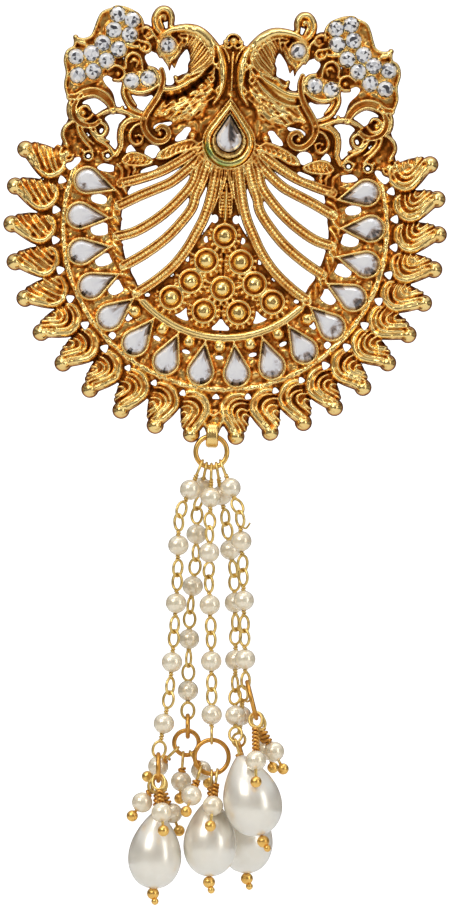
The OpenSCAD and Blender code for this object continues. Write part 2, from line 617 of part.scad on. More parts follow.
// The fourth strand ends on the eye of a drop's pin, the others on a ring
function upper_inset(k) = k == 0 ? ring_inset - 0.04 : eye_inset;
function lower_inset(s, k) = k == 4 && s != 3 ? ring_inset : eye_inset;
function lower_turn(s, k) = k == 4 ? last_turn[s] : 90;

function upper_joint(s, k) = strand_joints[s][k] + (s == 4 && k == 4 ? beside_ring_e : [0, 0, 0]);
function lower_joint(s, k) = strand_joints[s][k + 1];

module strand_pins(s) {
    color(gold) for (k = [0:4])
        eye_pin(upper_joint(s, k), lower_joint(s, k), upper_inset(k), lower_inset(s, k), lower_turn(s, k));
}

// A small pearl drilled along a pin
module drilled_pearl() {
    difference() {
        sphere(r = pearl_r);
        cylinder(r = bore_r, h = 4 * pearl_r, center = true);
    }
}

module strand_pearls(s) {
    color(pearl) for (k = [0:4]) let (p = upper_joint(s, k), q = lower_joint(s, k))
        hang(p, q) translate([0, 0, -norm(q - p) / 2]) drilled_pearl();
}

// The half-section of a drop pearl of the given length, from its narrow top to its round foot
function drop_radius(t, r) = r * pow(sin(180 * pow(t, 1.45)), 0.86);

module drop_pearl(n) {
    d = drops[n - 1];
    depth = d[2];
    length = d[3];
    r = n == 3 ? front_drop_r : drop_r;
    steps = [0.05, 0.14, 0.24, 0.34, 0.44, 0.54, 0.64, 0.74, 0.83, 0.9, 0.95, 0.985];
    side = [for (t = steps) [max(bore_r + 0.2, drop_radius(t, r)), -t * length]];
    color(pearl) hang(d[0], d[1]) translate([0, 0, -depth]) rotate_extrude()
        polygon(concat([[bore_r, side[0][1]]], side, [[bore_r, side[len(side) - 1][1]]]));
}

// A head pin: an eye at the top, a wrapped stem, and a gold ball at its end
module head_pin(p, q, inset, turn, wrap_end, ball_r) {
    length = norm(q - p);
    hang(p, q) {
        eye(inset, turn);
        wrap(inset + eye_r, wrap_end);
        translate([0, 0, -length]) cylinder(r = wire_r, h = length - inset - eye_r);
        translate([0, 0, -length]) sphere(r = ball_r);
    }
}

module drop_pin(n) {
    d = drops[n - 1];
    depth = d[2];
    turn = d[4];
    inset = n == 3 ? eye_inset : ring_inset;
    color(gold) head_pin(d[0], d[1], inset, turn, depth - wrap_gap, drop_ball_r);
}

// How far down its pin a charm's pearl is centred
function charm_depth(c) = norm(c[1] - c[0]) * c[2];

module charm_pins() {
    color(gold) for (c = charms) let (turn = c[3])
        head_pin(c[0], c[1], ring_inset, turn, charm_depth(c) - pearl_r - wrap_gap, charm_ball_r);
}

module charm_pearls() {
    color(pearl) for (c = charms) hang(c[0], c[1]) translate([0, 0, -charm_depth(c)]) drilled_pearl();
}

module top_ring() {
    color(gold) wire_ring(top_ring_at, top_ring_r, jump_wire_r + 0.04, 0);
}

module ring_a() {
    color(gold) wire_ring(ring_a_at, small_ring_r, jump_wire_r, 90);
}

module ring_b() {
    color(gold) {
        wire_ring(ring_b_at, ring_b_r, jump_wire_r, 90);
        wire_ring(ring_b2_at, ring_b2_r, jump_wire_r, 0);
    }
}

module ring_c() {
    color(gold) wire_ring(ring_c_at, ring_c_r, jump_wire_r, 0);
}

module ring_d() {
    color(gold) leaning_ring(ring_d_at, small_ring_r, ring_d_lean);
}

module ring_e() {
    color(gold) leaning_ring(ring_e_at, ring_e_r, ring_e_lean);
}

plate();
hair_pin();
centre_stone();
for (n = [1:16]) rim_stone(n);
chatons_left();
chatons_right();
top_ring();
for (s = [0:4]) strand_pins(s);
for (s = [0:4]) strand_pearls(s);
ring_a();
ring_b();
ring_c();
ring_d();
ring_e();
for (n = [1:4]) drop_pearl(n);
for (n = [1:4]) drop_pin(n);
charm_pins();
charm_pearls();
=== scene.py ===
import math

import bpy
import numpy as np
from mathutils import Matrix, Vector


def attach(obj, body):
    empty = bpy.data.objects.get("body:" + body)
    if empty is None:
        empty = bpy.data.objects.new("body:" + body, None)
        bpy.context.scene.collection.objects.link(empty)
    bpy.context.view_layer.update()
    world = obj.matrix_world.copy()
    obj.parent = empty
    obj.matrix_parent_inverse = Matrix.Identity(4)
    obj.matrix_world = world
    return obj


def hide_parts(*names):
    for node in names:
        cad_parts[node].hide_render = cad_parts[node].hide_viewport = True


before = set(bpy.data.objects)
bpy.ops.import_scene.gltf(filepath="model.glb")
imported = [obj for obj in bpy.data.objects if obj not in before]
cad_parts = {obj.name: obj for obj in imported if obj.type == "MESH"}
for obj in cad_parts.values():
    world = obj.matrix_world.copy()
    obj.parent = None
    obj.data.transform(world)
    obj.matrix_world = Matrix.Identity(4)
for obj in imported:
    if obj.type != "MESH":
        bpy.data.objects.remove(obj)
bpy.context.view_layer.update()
MM = 0.001

# The plate's own plane: u to the right, v up, w the height above its flat back
LEAN = math.radians(2.6)
COS_LEAN, SIN_LEAN = math.cos(LEAN), math.sin(LEAN)
PLATE_X, PLATE_Z = -0.70, -15.48
GROUND = 1.3
EDGE = 0.65


def to_row(u, v, w):
    """Plate millimetres to metres in the row frame."""
    x = PLATE_X + u * COS_LEAN + v * SIN_LEAN
    z = PLATE_Z - u * SIN_LEAN + v * COS_LEAN
    return np.stack([x, -w + 0 * x, z], -1) * MM


def turn_to_row(n):
    """A direction in the plate's plane turned into the row frame."""
    return np.stack([n[:, 0] * COS_LEAN + n[:, 1] * SIN_LEAN, -n[:, 2],
                     -n[:, 0] * SIN_LEAN + n[:, 1] * COS_LEAN], -1)


# The relief as a field: S is how far a point lies inside the metal and H its height.
# GREEN is the glaze on it, and SHADE the painted shade that lies in it, partly tarnish.
STEP = 0.12
US = np.arange(-34.8, 34.8, STEP)
VS = np.arange(-34.2, 34.2, STEP)
U, V = np.meshgrid(US, VS)
S = np.full(U.shape, -5.0)
H = np.full(U.shape, EDGE)
GREEN = np.zeros(U.shape)
SHADE = np.zeros(U.shape)
EVERYWHERE = (slice(0, len(VS)), slice(0, len(US)))
RADIUS = np.hypot(U, V)
ANGLE = np.degrees(np.arctan2(U, -V))
ABS_ANGLE = np.abs(ANGLE)


def window(points, pad):
    """The part of the field about the points, with the u and v of its places."""
    p = np.asarray(points, float)
    lo, hi = p.min(0) - pad, p.max(0) + pad
    i0 = max(0, int((lo[0] - US[0]) / STEP))
    i1 = min(len(US), int((hi[0] - US[0]) / STEP) + 2)
    j0 = max(0, int((lo[1] - VS[0]) / STEP))
    j1 = min(len(VS), int((hi[1] - VS[0]) / STEP) + 2)
    w = (slice(j0, j1), slice(i0, i1))
    return w, U[w], V[w]


def lay(w, s, h):
    """Adds metal where s is positive, with its top at h."""
    S[w] = np.maximum(S[w], s)
    SHADE[w] = np.where((s > 0) & (h > H[w]), 0, SHADE[w])
    H[w] = np.where(s > 0, np.maximum(H[w], h), H[w])


def cut(w, s):
    """Opens a gap where s is positive."""
    S[w] = np.minimum(S[w], -s)
    H[w] = np.where(s > 0, EDGE, H[w])


def smooth(points, n=7, closed=False):
    """A Catmull-Rom curve through the points."""
    p = np.asarray(points, float)
    if len(p) < 3:
        return p
    k = len(p)
    out = []
    t = (np.arange(n) / n)[:, None]
    for i in range(k if closed else k - 1):
        if closed:
            a, b, c, d = p[i - 1], p[i], p[(i + 1) % k], p[(i + 2) % k]
        else:
            b, c = p[i], p[i + 1]
            a = p[i - 1] if i else 2 * b - c
            d = p[i + 2] if i + 2 < k else 2 * c - b
        out.append(0.5 * (2 * b + (c - a) * t + (2 * a - 5 * b + 4 * c - d) * t ** 2
                          + (3 * b - a - 3 * c + d) * t ** 3))
    if not closed:
        out.append(p[-1:])
    return np.vstack(out)


def near(path, uu, vv):
    """Distance to a path, how far along it, on which side, and its length."""
    best = np.full(uu.shape, 1e9)
    along = np.zeros(uu.shape)
    side = np.zeros(uu.shape)
    done = 0.0
    for a, b in zip(path[:-1], path[1:]):
        e = b - a
        l2 = float(e @ e)
        if l2 < 1e-10:
            continue
        x, y = uu - a[0], vv - a[1]
        t = np.clip((x * e[0] + y * e[1]) / l2, 0, 1)
        dx, dy = x - t * e[0], y - t * e[1]
        d2 = dx * dx + dy * dy
        m = d2 < best
        best[m] = d2[m]
        along[m] = done + t[m] * math.sqrt(l2)
        side[m] = np.sign(e[0] * y - e[1] * x)[m]
        done += math.sqrt(l2)
    return np.sqrt(best), along, side, done


def inside_of(path, uu, vv):
    """Signed distance to a closed outline, positive inside."""
    d, _, _, _ = near(np.vstack([path, path[:1]]), uu, vv)
    odd = np.zeros(uu.shape, bool)
    for a, b in zip(path, np.roll(path, -1, 0)):
        if a[1] == b[1]:
            continue
        over = (a[1] > vv) != (b[1] > vv)
        odd ^= over & (uu < (b[0] - a[0]) * (vv - a[1]) / (b[1] - a[1]) + a[0])
    return np.where(odd, d, -d)


def hashed(i, j, seed):
    """A number from 0 to 1 that looks random but is the same each time."""
    x = np.sin(i * 127.1 + j * 311.7 + seed * 74.7) * 43758.5453
    return x - np.floor(x)


def grain(uu, vv, size, seed=1):
    """Smooth value noise from 0 to 1 with cells of the given size."""
    x, y = uu / size, vv / size
    i, j = np.floor(x), np.floor(y)
    fx, fy = x - i, y - j
    fx, fy = fx * fx * (3 - 2 * fx), fy * fy * (3 - 2 * fy)
    a, b = hashed(i, j, seed), hashed(i + 1, j, seed)
    c, d = hashed(i, j + 1, seed), hashed(i + 1, j + 1, seed)
    return (a * (1 - fx) + b * fx) * (1 - fy) + (c * (1 - fx) + d * fx) * fy


def profile(x, style, along=None, side=None, pitch=0.55):
    """The cross-section of a stroke, 0 at its edge and 1 at its top; x is the share of its half width."""
    x = np.clip(x, 0, 1)
    if style == "round":
        return np.sqrt(1 - x * x)
    if style == "flat":
        return np.clip((1 - x) / 0.3, 0, 1) ** 0.5
    if style == "rope":
        return np.sqrt(1 - x * x) * (0.66 + 0.34 * np.sin(2 * np.pi * (along / pitch + 0.3 * side * x)))
    rail = np.where(x < 0.64, 0.66 + 0.34 * np.exp(-((x - 0.64) / 0.24) ** 2),
                    np.sqrt(np.clip(1 - ((x - 0.64) / 0.36) ** 2, 0, 1)))
    if style == "beaded":
        # two thin rims with a row of small beads between them
        rims = np.sqrt(np.clip(1 - ((x - 0.76) / 0.25) ** 2, 0, 1))
        beads = (0.84 + 0.07 * np.cos(2 * np.pi * along / pitch)) * (1 - 0.35 * (x / 0.5) ** 2)
        return np.where(x > 0.76, rims, np.maximum(np.maximum(rims, beads * (x < 0.5)), 0.68))
    if style == "grooved_left":
        line = 0.35 * np.exp(-((side * x - 0.28) / 0.16) ** 2)
        return np.clip(np.sqrt(1 - x * x) - line, 0, 1)
    return rail


def stroke(points, r, top, low=0.9, style="round", ends=(1.0, 1.0), pitch=0.55, n=7, uneven=0.0):
    """A raised line along a path, with its radius drawn in at its ends."""
    path = smooth(points, n)
    w, uu, vv = window(path, r + 0.3)
    d, along, side, total = near(path, uu, vv)
    rr = r * np.interp(along / total, [0, 0.3, 0.7, 1], [ends[0], 1, 1, ends[1]])
    h = low + (top - low) * profile(d / rr, style, along, side, pitch)
    if uneven:
        h = h - uneven * np.clip(2 * grain(uu, vv, 1.1, 61) - 0.7, 0, 1)
    lay(w, rr - d, h)
    if style in ("rail", "beaded"):
        # painted shade, partly tarnish, lies in the line between the two rails, and on beaded lines also
        # between the beads
        dark = 0.36 * np.exp(-np.clip(d / rr - 0.1, 0, None) ** 4 / 0.01)
        if style == "beaded":
            beads = 0.5 + 0.5 * np.cos(2 * np.pi * (along / pitch + 0.3 * grain(uu, vv, 0.9, 43)))
            dark = 0.3 * np.exp(-((d / rr - 0.5) / 0.14) ** 2)
            dark += 0.22 * (1 - beads) * grain(uu, vv, 0.6, 42) * (d < 0.5 * rr)
        SHADE[w] = np.where((d < rr) & (np.abs(H[w] - h) < 1e-9), dark, SHADE[w])


def dome(c, r, top, low=1.0):
    """A round raised ball."""
    w, uu, vv = window([c], r + 0.3)
    d = np.hypot(uu - c[0], vv - c[1])
    h = low + (top - low) * np.clip(1 - (d / r) ** 2, 0, 1) ** 0.5
    lay(w, r - d, h)


def loop(c, r, half, top, low=1.0, fill=None):
    """A round ring; fill is the height of the ground inside it, if it has one."""
    w, uu, vv = window([c], r + half + 0.3)
    d = np.hypot(uu - c[0], vv - c[1])
    x = np.abs(d - r) / half
    h = low + (top - low) * np.sqrt(np.clip(1 - x * x, 0, 1))
    if fill is not None:
        lay(w, r - d, np.full(d.shape, fill))
    lay(w, half - np.abs(d - r), h)


def area(points, top, n=5, crown=0.0, edge=0.35, smoothed=True, rough=0.0, size=0.4):
    """A filled outline, its top rounded at the edge and crowned towards its middle."""
    path = smooth(points, n, closed=True) if smoothed else np.asarray(points, float)
    w, uu, vv = window(path, 0.4)
    s = inside_of(path, uu, vv)
    k = np.clip(s / edge, 0, 1)
    h = EDGE + (top - EDGE) * np.sqrt(1 - (1 - k) ** 2)
    if crown:
        h = h + crown * (1 - np.exp(-np.clip(s, 0, None) / 1.2))
    if rough:
        h = h + rough * (grain(uu, vv, size, 3) - 0.5) * k
    lay(w, s, h)


def hole(c, a, b, angle=0.0, square=1.0):
    """An oval gap with half sizes a and b."""
    w, uu, vv = window([c], max(a, b) + 0.4)
    t = math.radians(angle)
    x = (uu - c[0]) * math.cos(t) + (vv - c[1]) * math.sin(t)
    y = -(uu - c[0]) * math.sin(t) + (vv - c[1]) * math.cos(t)
    q = (np.abs(x / a) ** (2 * square) + np.abs(y / b) ** (2 * square)) ** (0.5 / square)
    cut(w, (1 - q) * min(a, b))


def gap(points, n=5):
    """A gap with a drawn outline."""
    path = smooth(points, n, closed=True)
    w, uu, vv = window(path, 0.4)
    cut(w, inside_of(path, uu, vv))


def both(points):
    """The drawn points of the left side, and the same ones mirrored."""
    p = np.asarray(points, float)
    return [p, p * [-1, 1]]


def pair(u, v):
    """A place on one side, and the same one on the other."""
    return [(u, v), (-u, v)]


def towards(a):
    """The direction at angle a from the lowest point, in degrees, positive to the right."""
    return np.array([math.sin(math.radians(a)), -math.cos(math.radians(a))])


def around(r, a):
    """The point at radius r and angle a from the lowest point."""
    return np.array([r * math.sin(math.radians(a)), -r * math.cos(math.radians(a))])


def drop_inside(x, y, r, tip):
    """Signed distance to a teardrop, positive inside: a round end about the origin and a tip along +x."""
    y = np.abs(y)
    c = r / tip
    s = math.sqrt(1 - c * c)
    tau = x * s - y * c
    line = r - (x * c + y * s)
    return np.where(tau < 0, r - np.hypot(x, y), line)


# The rim, from the ring inside it to the fringe's roots, ends at this angle on each side
RIM_END = 112.6
RIM_INNER, RIM_OUTER = 15.9, 25.0
RING_RADIUS, COLLAR_RADIUS = 16.5, 16.6
BAND_RADIUS = 24.3
STONE_RADIUS = 21.9
FIRST_STONE, STONE_PITCH, STONES_A_SIDE = 7.15, 14.2, 8
# the small balls against the ring, on the right
BALLS = [(0, -17.8), (4.6, -17.3), (8.7, -15.6), (13.0, -13.1)]
# u, v, half length out from the middle and half width of the gaps on the right
RIM_GAPS = [
    (19.1, 3.55, 1.2, 0.72), (18.75, -0.95, 1.4, 0.98), (17.95, -5.55, 1.35, 0.9), (15.95, -9.6, 1.3, 1.0),
    (13.9, -14.2, 0.4, 0.35), (19.6, -16.3, 0.55, 0.7), (16.2, -16.9, 0.55, 0.5), (17.6, 8.6, 0.45, 1.1),
]


def rim_ground():
    """The rim's rough ground with its gaps."""
    across = np.minimum(RADIUS - RIM_INNER, RIM_OUTER - RADIUS)
    rim_s = np.minimum(across, (RIM_END - ABS_ANGLE) * RADIUS * math.pi / 180)
    roughness = 0.3 * (grain(U, V, 0.6, 5) - 0.5) + 0.15 * (grain(U, V, 0.3, 6) - 0.5)
    lay(EVERYWHERE, rim_s, GROUND + 0.1 + roughness)
    for u, v, half_out, half_across in RIM_GAPS:
        for side in (-1, 1):
            hole((side * u, v), half_out, half_across, math.degrees(math.atan2(v, side * u)), 1.25)
    for u, v in BALLS:
        for side in (-1, 1):
            a = math.degrees(math.atan2(side * u, -v))
            hole(around(19.45, a), 0.62, 0.3, a)


# The fringe: side, first and last angle and count of its leaves
FRINGE = [(-1, 6.7, 109.0, 11), (1, 5.6, 109.8, 12)]
# a leaf's outline, its broad band and its ridges, out from the root and towards the lowest point
BODY = [(-0.5, -1.3), (0.1, -1.95), (0.9, -2.15), (1.8, -2.15), (2.9, -2.1), (3.9, -1.95), (4.8, -1.7),
        (5.7, -1.35), (6.0, 0.5), (5.5, 0.95), (4.7, 1.4), (3.7, 1.95), (2.6, 2.25), (1.5, 2.15),
        (0.5, 1.6), (-0.3, 0.8)]
BAND = [(0.8, -1.9), (0.2, -1.6), (-0.05, -0.9), (0.05, 0.1), (0.65, 1.05), (1.55, 1.68), (2.6, 1.8),
        (3.7, 1.42), (4.7, 0.88), (5.5, 0.42), (6.0, 0.2)]
RIDGES = [
    [(0.8, -1.5), (0.62, -0.85), (0.78, 0.0), (1.35, 0.8), (2.3, 1.13), (3.3, 0.9), (4.4, 0.38),
     (5.4, -0.15), (5.9, -0.3)],
    [(1.55, -1.8), (1.38, -1.05), (1.55, -0.25), (2.1, 0.3), (2.9, 0.4), (3.8, 0.07), (4.8, -0.45),
     (5.7, -0.85)],
    [(2.5, -1.85), (2.2, -1.15), (2.35, -0.55), (2.95, -0.3), (3.7, -0.5), (4.5, -0.95), (5.3, -1.3)],
    [(3.35, -1.9), (3.05, -1.4), (3.3, -1.0), (3.9, -1.15), (4.6, -1.6)],
]
# the leaves high on the rim lean down, and on the left their ridges run straight across
HIGH_RIDGES = [
    [(5.5, -0.8), (4.9, -0.2), (4.1, 0.4), (3.3, 1.0)],
    [(4.7, -1.45), (4.05, -0.65), (3.2, 0.1), (2.4, 0.8), (1.9, 1.1)],
    [(3.7, -1.85), (3.1, -1.0), (2.35, -0.3), (1.5, 0.5), (1.0, 0.8)],
    [(2.6, -2.0), (2.05, -1.3), (1.4, -0.6), (0.7, 0.2)],
    [(1.5, -2.0), (1.1, -1.5), (0.5, -0.8)],
]
LEAF_REACH, LEAF_WIDTH = 6.25, 1.06


def fringe_frame(side, a, reach, lean):
    """Turns a leaf's own points, out from the root and towards the lowest point, into the plate's plane."""
    out = towards(side * a)
    across = side * np.array([out[1], -out[0]])

    def place(pts):
        sideways = [LEAF_WIDTH * p[1] + lean * (LEAF_REACH - p[0]) for p in pts]
        return reach * out + np.outer([p[0] for p in pts], out) + np.outer(sideways, across)
    return place


def fringe():
    """The leaves with their ridges, bands and ball tips."""
    rng = np.random.default_rng(11)
    leaves = []
    for side, first, last, count in FRINGE:
        for i in range(count):
            a = first + (last - first) * i / (count - 1)
            place = fringe_frame(side, a, 25.0 + 0.95 * a / 110, 0.13 * min(1, max(0, (a - 45) / 30)))
            leaves.append((side, a, place))
            area(place(BODY), 1.5, n=4, crown=0.3, edge=0.6)
    for side, a, place in leaves:
        ridges = HIGH_RIDGES if a > 58 and side < 0 else RIDGES
        jitter = rng.normal(0, 0.08, (len(ridges), 2))
        for k, ridge in enumerate(ridges):
            pts = [(p[0] + jitter[k, 0], p[1] + jitter[k, 1]) for p in ridge]
            stroke(place(pts), 0.45 - 0.02 * k, 2.8 - 0.12 * k, low=1.0, ends=(0.45, 0.7), uneven=0.55)
        stroke(place(BAND), 0.64, 2.5, low=1.0, ends=(0.6, 1.2), uneven=0.3)
        dome(place([(LEAF_REACH, 0.0)])[0], 1.3, 2.8, low=0.75)
        # the small crescent dent beside the ball
        c = place([(5.55, -0.35)])[0]
        w, uu, vv = window([c], 0.6)
        dent = np.exp(-((uu - c[0]) ** 2 + (vv - c[1]) ** 2) / 0.09)
        H[w] -= 0.35 * dent * (S[w] > 0)


def fringe_roots():
    """The rough ground that joins the leaves' roots, with small three-sided gaps between them."""
    edge = 27.7 + 0.7 * grain(U, V, 1.0, 17)
    root_s = np.minimum(np.minimum(RADIUS - 24.0, edge - RADIUS), (RIM_END + 1.5 - ABS_ANGLE) * 0.44)
    roughness = 0.35 * (grain(U, V, 0.45, 18) - 0.5) + 0.2 * (grain(U, V, 0.26, 19) - 0.5)
    lay(EVERYWHERE, root_s, 1.35 + roughness)
    for side, first, last, count in FRINGE:
        for i in range(count - 1):
            a = first + (last - first) * (i + 0.5) / (count - 1)
            big = 0.72 if a > 38 else 0.56
            gap([around(25.55, side * a) + big * towards(side * a + turn) for turn in (180, 300, 60)], 4)
    gap([(-0.8, -25.6), (0.3, -25.6), (-0.2, -24.9)], 4)


def granular_band():
    """The narrow lumpy band between the stones and the fringe."""
    d = np.abs(RADIUS - BAND_RADIUS)
    lumps = grain(U, V, 0.42, 9) * 0.65 + grain(U, V, 0.23, 10) * 0.35
    half = 0.52 + 0.16 * (grain(U, V, 0.8, 12) - 0.5)
    band_s = np.minimum(half - d, (RIM_END - 1 - ABS_ANGLE) * 0.42)
    band_h = 1.35 + 0.62 * np.sqrt(np.clip(1 - (d / half) ** 2, 0, 1)) * (0.55 + 0.75 * lumps)
    lay(EVERYWHERE, band_s, band_h)


def inner_ring():
    """The ring round the panel: smooth below, twisted and knotted at the sides, with a flat collar."""
    smooth_part = ABS_ANGLE < 46.5
    from_knot = (ABS_ANGLE - FIRST_STONE + STONE_PITCH / 2) % STONE_PITCH - STONE_PITCH / 2
    half = np.where(smooth_part, 0.74, 0.7 + 0.35 * np.exp(-from_knot ** 2 / 2.2))
    d = np.abs(RADIUS - RING_RADIUS)
    x = np.clip(d / half, 0, 1)
    signed = (RADIUS - RING_RADIUS) / half
    tube_h = np.sqrt(1 - x * x) - 0.22 * np.exp(-((signed - 0.25) / 0.16) ** 2)
    turns = ANGLE * RING_RADIUS * math.pi / 180 / 1.5 + 0.5 * signed + 0.35 * grain(U, V, 2.2, 22)
    twist = 0.5 + 0.5 * np.sin(2 * np.pi * turns)
    rope_h = np.sqrt(1 - x * x) * (0.3 + 0.7 * twist ** 0.7) * (0.85 + 0.35 * grain(U, V, 0.5, 21))
    end_s = (RIM_END - ABS_ANGLE) * 0.29
    lay(EVERYWHERE, np.minimum(half - d, end_s), 1.25 + np.where(smooth_part, 0.95 * tube_h, 1.15 * rope_h))
    # the collar is wider where the rays meet it
    collar = 0.75 + 0.55 * grain(U, V, 1.6, 31)
    collar_s = np.minimum(np.minimum(collar - np.abs(RADIUS - COLLAR_RADIUS), end_s), ABS_ANGLE - 44)
    lay(EVERYWHERE, collar_s, 1.25 + 0.12 * (grain(U, V, 0.3, 33) - 0.5))
    for u, v in BALLS:
        for side in (-1, 1):
            dome((side * u, v), 1.0, 2.6, low=1.4)


# side, number on its side from the bottom up, and angle of each rim stone
RIM_STONES = [(side, i, side * (FIRST_STONE + STONE_PITCH * i))
              for side in (-1, 1) for i in range(STONES_A_SIDE)]


def rim_bezels():
    """The drop-shaped rims round the rim stones."""
    for _, _, a in RIM_STONES:
        c = around(STONE_RADIUS, a)
        inward = -c / np.linalg.norm(c)
        w, uu, vv = window([c, c + inward * 5.2], 2.6)
        x = (uu - c[0]) * inward[0] + (vv - c[1]) * inward[1]
        y = -(uu - c[0]) * inward[1] + (vv - c[1]) * inward[0]
        s = drop_inside(x, y, 2.27, 4.95)
        lay(w, s, np.full(s.shape, 1.3))
        H[w] = np.where(s > 0.55, 1.0 + 0.05 * grain(uu, vv, 0.2, 4), H[w])
        half = 0.27
        d = np.abs(drop_inside(x, y, 1.99, 4.5))
        lay(w, half - d, 1.2 + 1.15 * np.sqrt(np.clip(1 - (d / half) ** 3, 0, 1)))


# The panel's rays on the left, from the top down, and the ground of the studs
RAYS = [
    [(-3.9, 12.2), (-5.3, 11.1), (-7.5, 9.55), (-10, 8.1), (-13, 6.9), (-15.9, 6.0)],
    [(-3.7, 11.6), (-4.6, 10.1), (-6.2, 8.4), (-8.3, 6.6), (-10, 5.7), (-13, 4.3), (-16.2, 2.6)],
    [(-3.4, 11.2), (-4.5, 9.0), (-5.2, 6.5), (-6.9, 4.2), (-8.8, 2.2), (-11, 0.4), (-13.6, -1.2),
     (-16.2, -2.0)],
    [(-2.8, 10.6), (-3.7, 7.2), (-4.6, 4.9), (-5.1, 2.8), (-6.9, 0.2), (-9.1, -2.2), (-12, -4.5),
     (-15, -6.4)],
    [(-1.5, 10.1), (-2.4, 4.4), (-3.2, 1.5), (-4.2, -0.7), (-5.6, -3.4), (-7.5, -6.0), (-10.1, -8.4),
     (-12.9, -10.4)],
]
STUD_FIELD = [(0, 1.4), (-1.7, 1.4), (-3.0, -0.6), (-4.6, -2.8), (-6.4, -5.4), (-8.2, -7.4), (-10.6, -9.4),
              (-12.9, -10.9), (-8.6, -14.2), (-4.2, -15.9), (0, -16.3)]
RAY_ROOT = [(0.2, 11.0), (-3.2, 10.8), (-3.3, 8.6), (-2.8, 5.4), (-2.3, 3.4), (-1.9, 1.0), (0.2, 0.6)]
# the short strands at the rays' root, each with its radius
STRANDS_AT_ROOT = [
    ([(-2.9, 10.6), (-2.2, 8.2), (-2.5, 5.2), (-3.1, 2.6)], 0.42),
    ([(-1.0, 10.2), (-1.1, 7.6), (-1.5, 4.6), (-2.1, 2.4)], 0.38),
    ([(-3.4, 10.8), (-3.1, 8.6), (-3.4, 6.4), (-4.0, 4.6)], 0.36),
    ([(-0.25, 9.6), (-0.3, 7.8), (-0.65, 6.2), (-1.0, 4.6)], 0.3),
]
# middle, half width and half height of the oval gaps among the studs
STUD_GAPS = [
    ((1.6, 1.35), 0.5, 0.65), ((2.75, -1.8), 0.36, 0.5), ((5.4, -4.85), 0.42, 0.4),
    ((7.7, -7.3), 0.32, 0.32), ((11.2, -10.5), 0.4, 0.3), ((3.5, 0.3), 0.18, 0.9),
]


def rays():
    """The panel's grounds and gaps, its rays and the beaded drop in their middle."""
    for pts in both(STUD_FIELD):
        area(pts, GROUND, smoothed=False, edge=0.2, rough=0.12, size=0.45)
    for pts in both(RAY_ROOT):
        area(pts, 1.2, smoothed=False, edge=0.2)
    for c, a, b in STUD_GAPS:
        for place in pair(*c):
            hole(place, a, b)
    for pts in both([(-7.3, -13.0), (-6.1, -12.0), (-5.2, -12.3), (-4.75, -13.9), (-5.7, -14.0)]):
        gap(pts, 3)
    gap([(-1.35, -15.2), (-0.5, -14.0), (0, -13.7), (0.5, -14.0), (1.35, -15.2), (0, -15.35)], 3)
    for ray in RAYS:
        for pts in both(ray):
            stroke(pts, 0.8, 2.4, low=0.8, style="beaded", pitch=0.56)
    for pts, r in STRANDS_AT_ROOT:
        for side_pts in both(pts):
            stroke(side_pts, r, 2.1, low=1.1, style="rail", ends=(1.0, 0.6))
    # the beaded drop in the middle
    stroke([(-0.05, 6.6), (-0.05, 4.6), (-0.05, 2.6), (-0.05, 1.3)], 0.34, 2.35, low=1.3, ends=(0.5, 1.25))
    for k in range(8):
        v = 5.2 - 0.5 * k
        for side in (-1, 1):
            dome((side * (0.42 + 0.04 * k) - 0.05, v), 0.24, 1.95, low=1.2)
    for side in (-1, 1):
        line = [(side * 0.75 - 0.05, 5.3), (side * 0.95 - 0.05, 3.6), (side * 0.9 - 0.05, 2.1)]
        stroke(line, 0.16, 1.8, low=1.2)


STUDS = [(0, -1.2), (-2.6, -5.0), (2.6, -5.0), (-4.8, -8.2), (0, -9.1), (4.8, -8.2), (-7.6, -10.8),
         (-2.6, -12.6), (2.6, -12.6), (7.6, -10.8)]


def studs():
    """Ten studs, each a ball in a smooth ring with half a ring of rope round it."""
    for c in STUDS:
        w, uu, vv = window([c], 2.9)
        d = np.hypot(uu - c[0], vv - c[1])
        turn = np.arctan2(vv - c[1], uu - c[0])
        lay(w, 2.1 - d, np.full(d.shape, GROUND))
        lower = np.sin(turn) < 0.45
        for r, half, top, rope in ((2.3, 0.32, 2.0, True), (1.74, 0.34, 2.15, False)):
            inside = half - np.abs(d - r)
            p = np.sqrt(np.clip(1 - (np.abs(d - r) / half) ** 2, 0, 1))
            if rope:
                p = p * (0.6 + 0.4 * np.sin(turn * r / 0.5 * 2 * np.pi * 0.5)) * lower
                inside = np.where(lower, inside, -1)
            lay(w, inside, 1.2 + (top - 1.2) * p)
        ball_r, low = 1.2, 1.62
        ball_h = low + ball_r * np.sqrt(np.clip(1 - (d / ball_r) ** 2, 0, 1))
        H[w] = np.where(d < 1.4, np.where(d < ball_r, ball_h, low), H[w])
        if hashed(c[0], c[1], 2) > 0.35:
            # a small dimple near its top
            from_dimple = (uu - c[0] - c[0] * 0.03) ** 2 + (vv - c[1] - 0.06) ** 2
            H[w] -= 0.12 * np.exp(-from_dimple / 0.05)


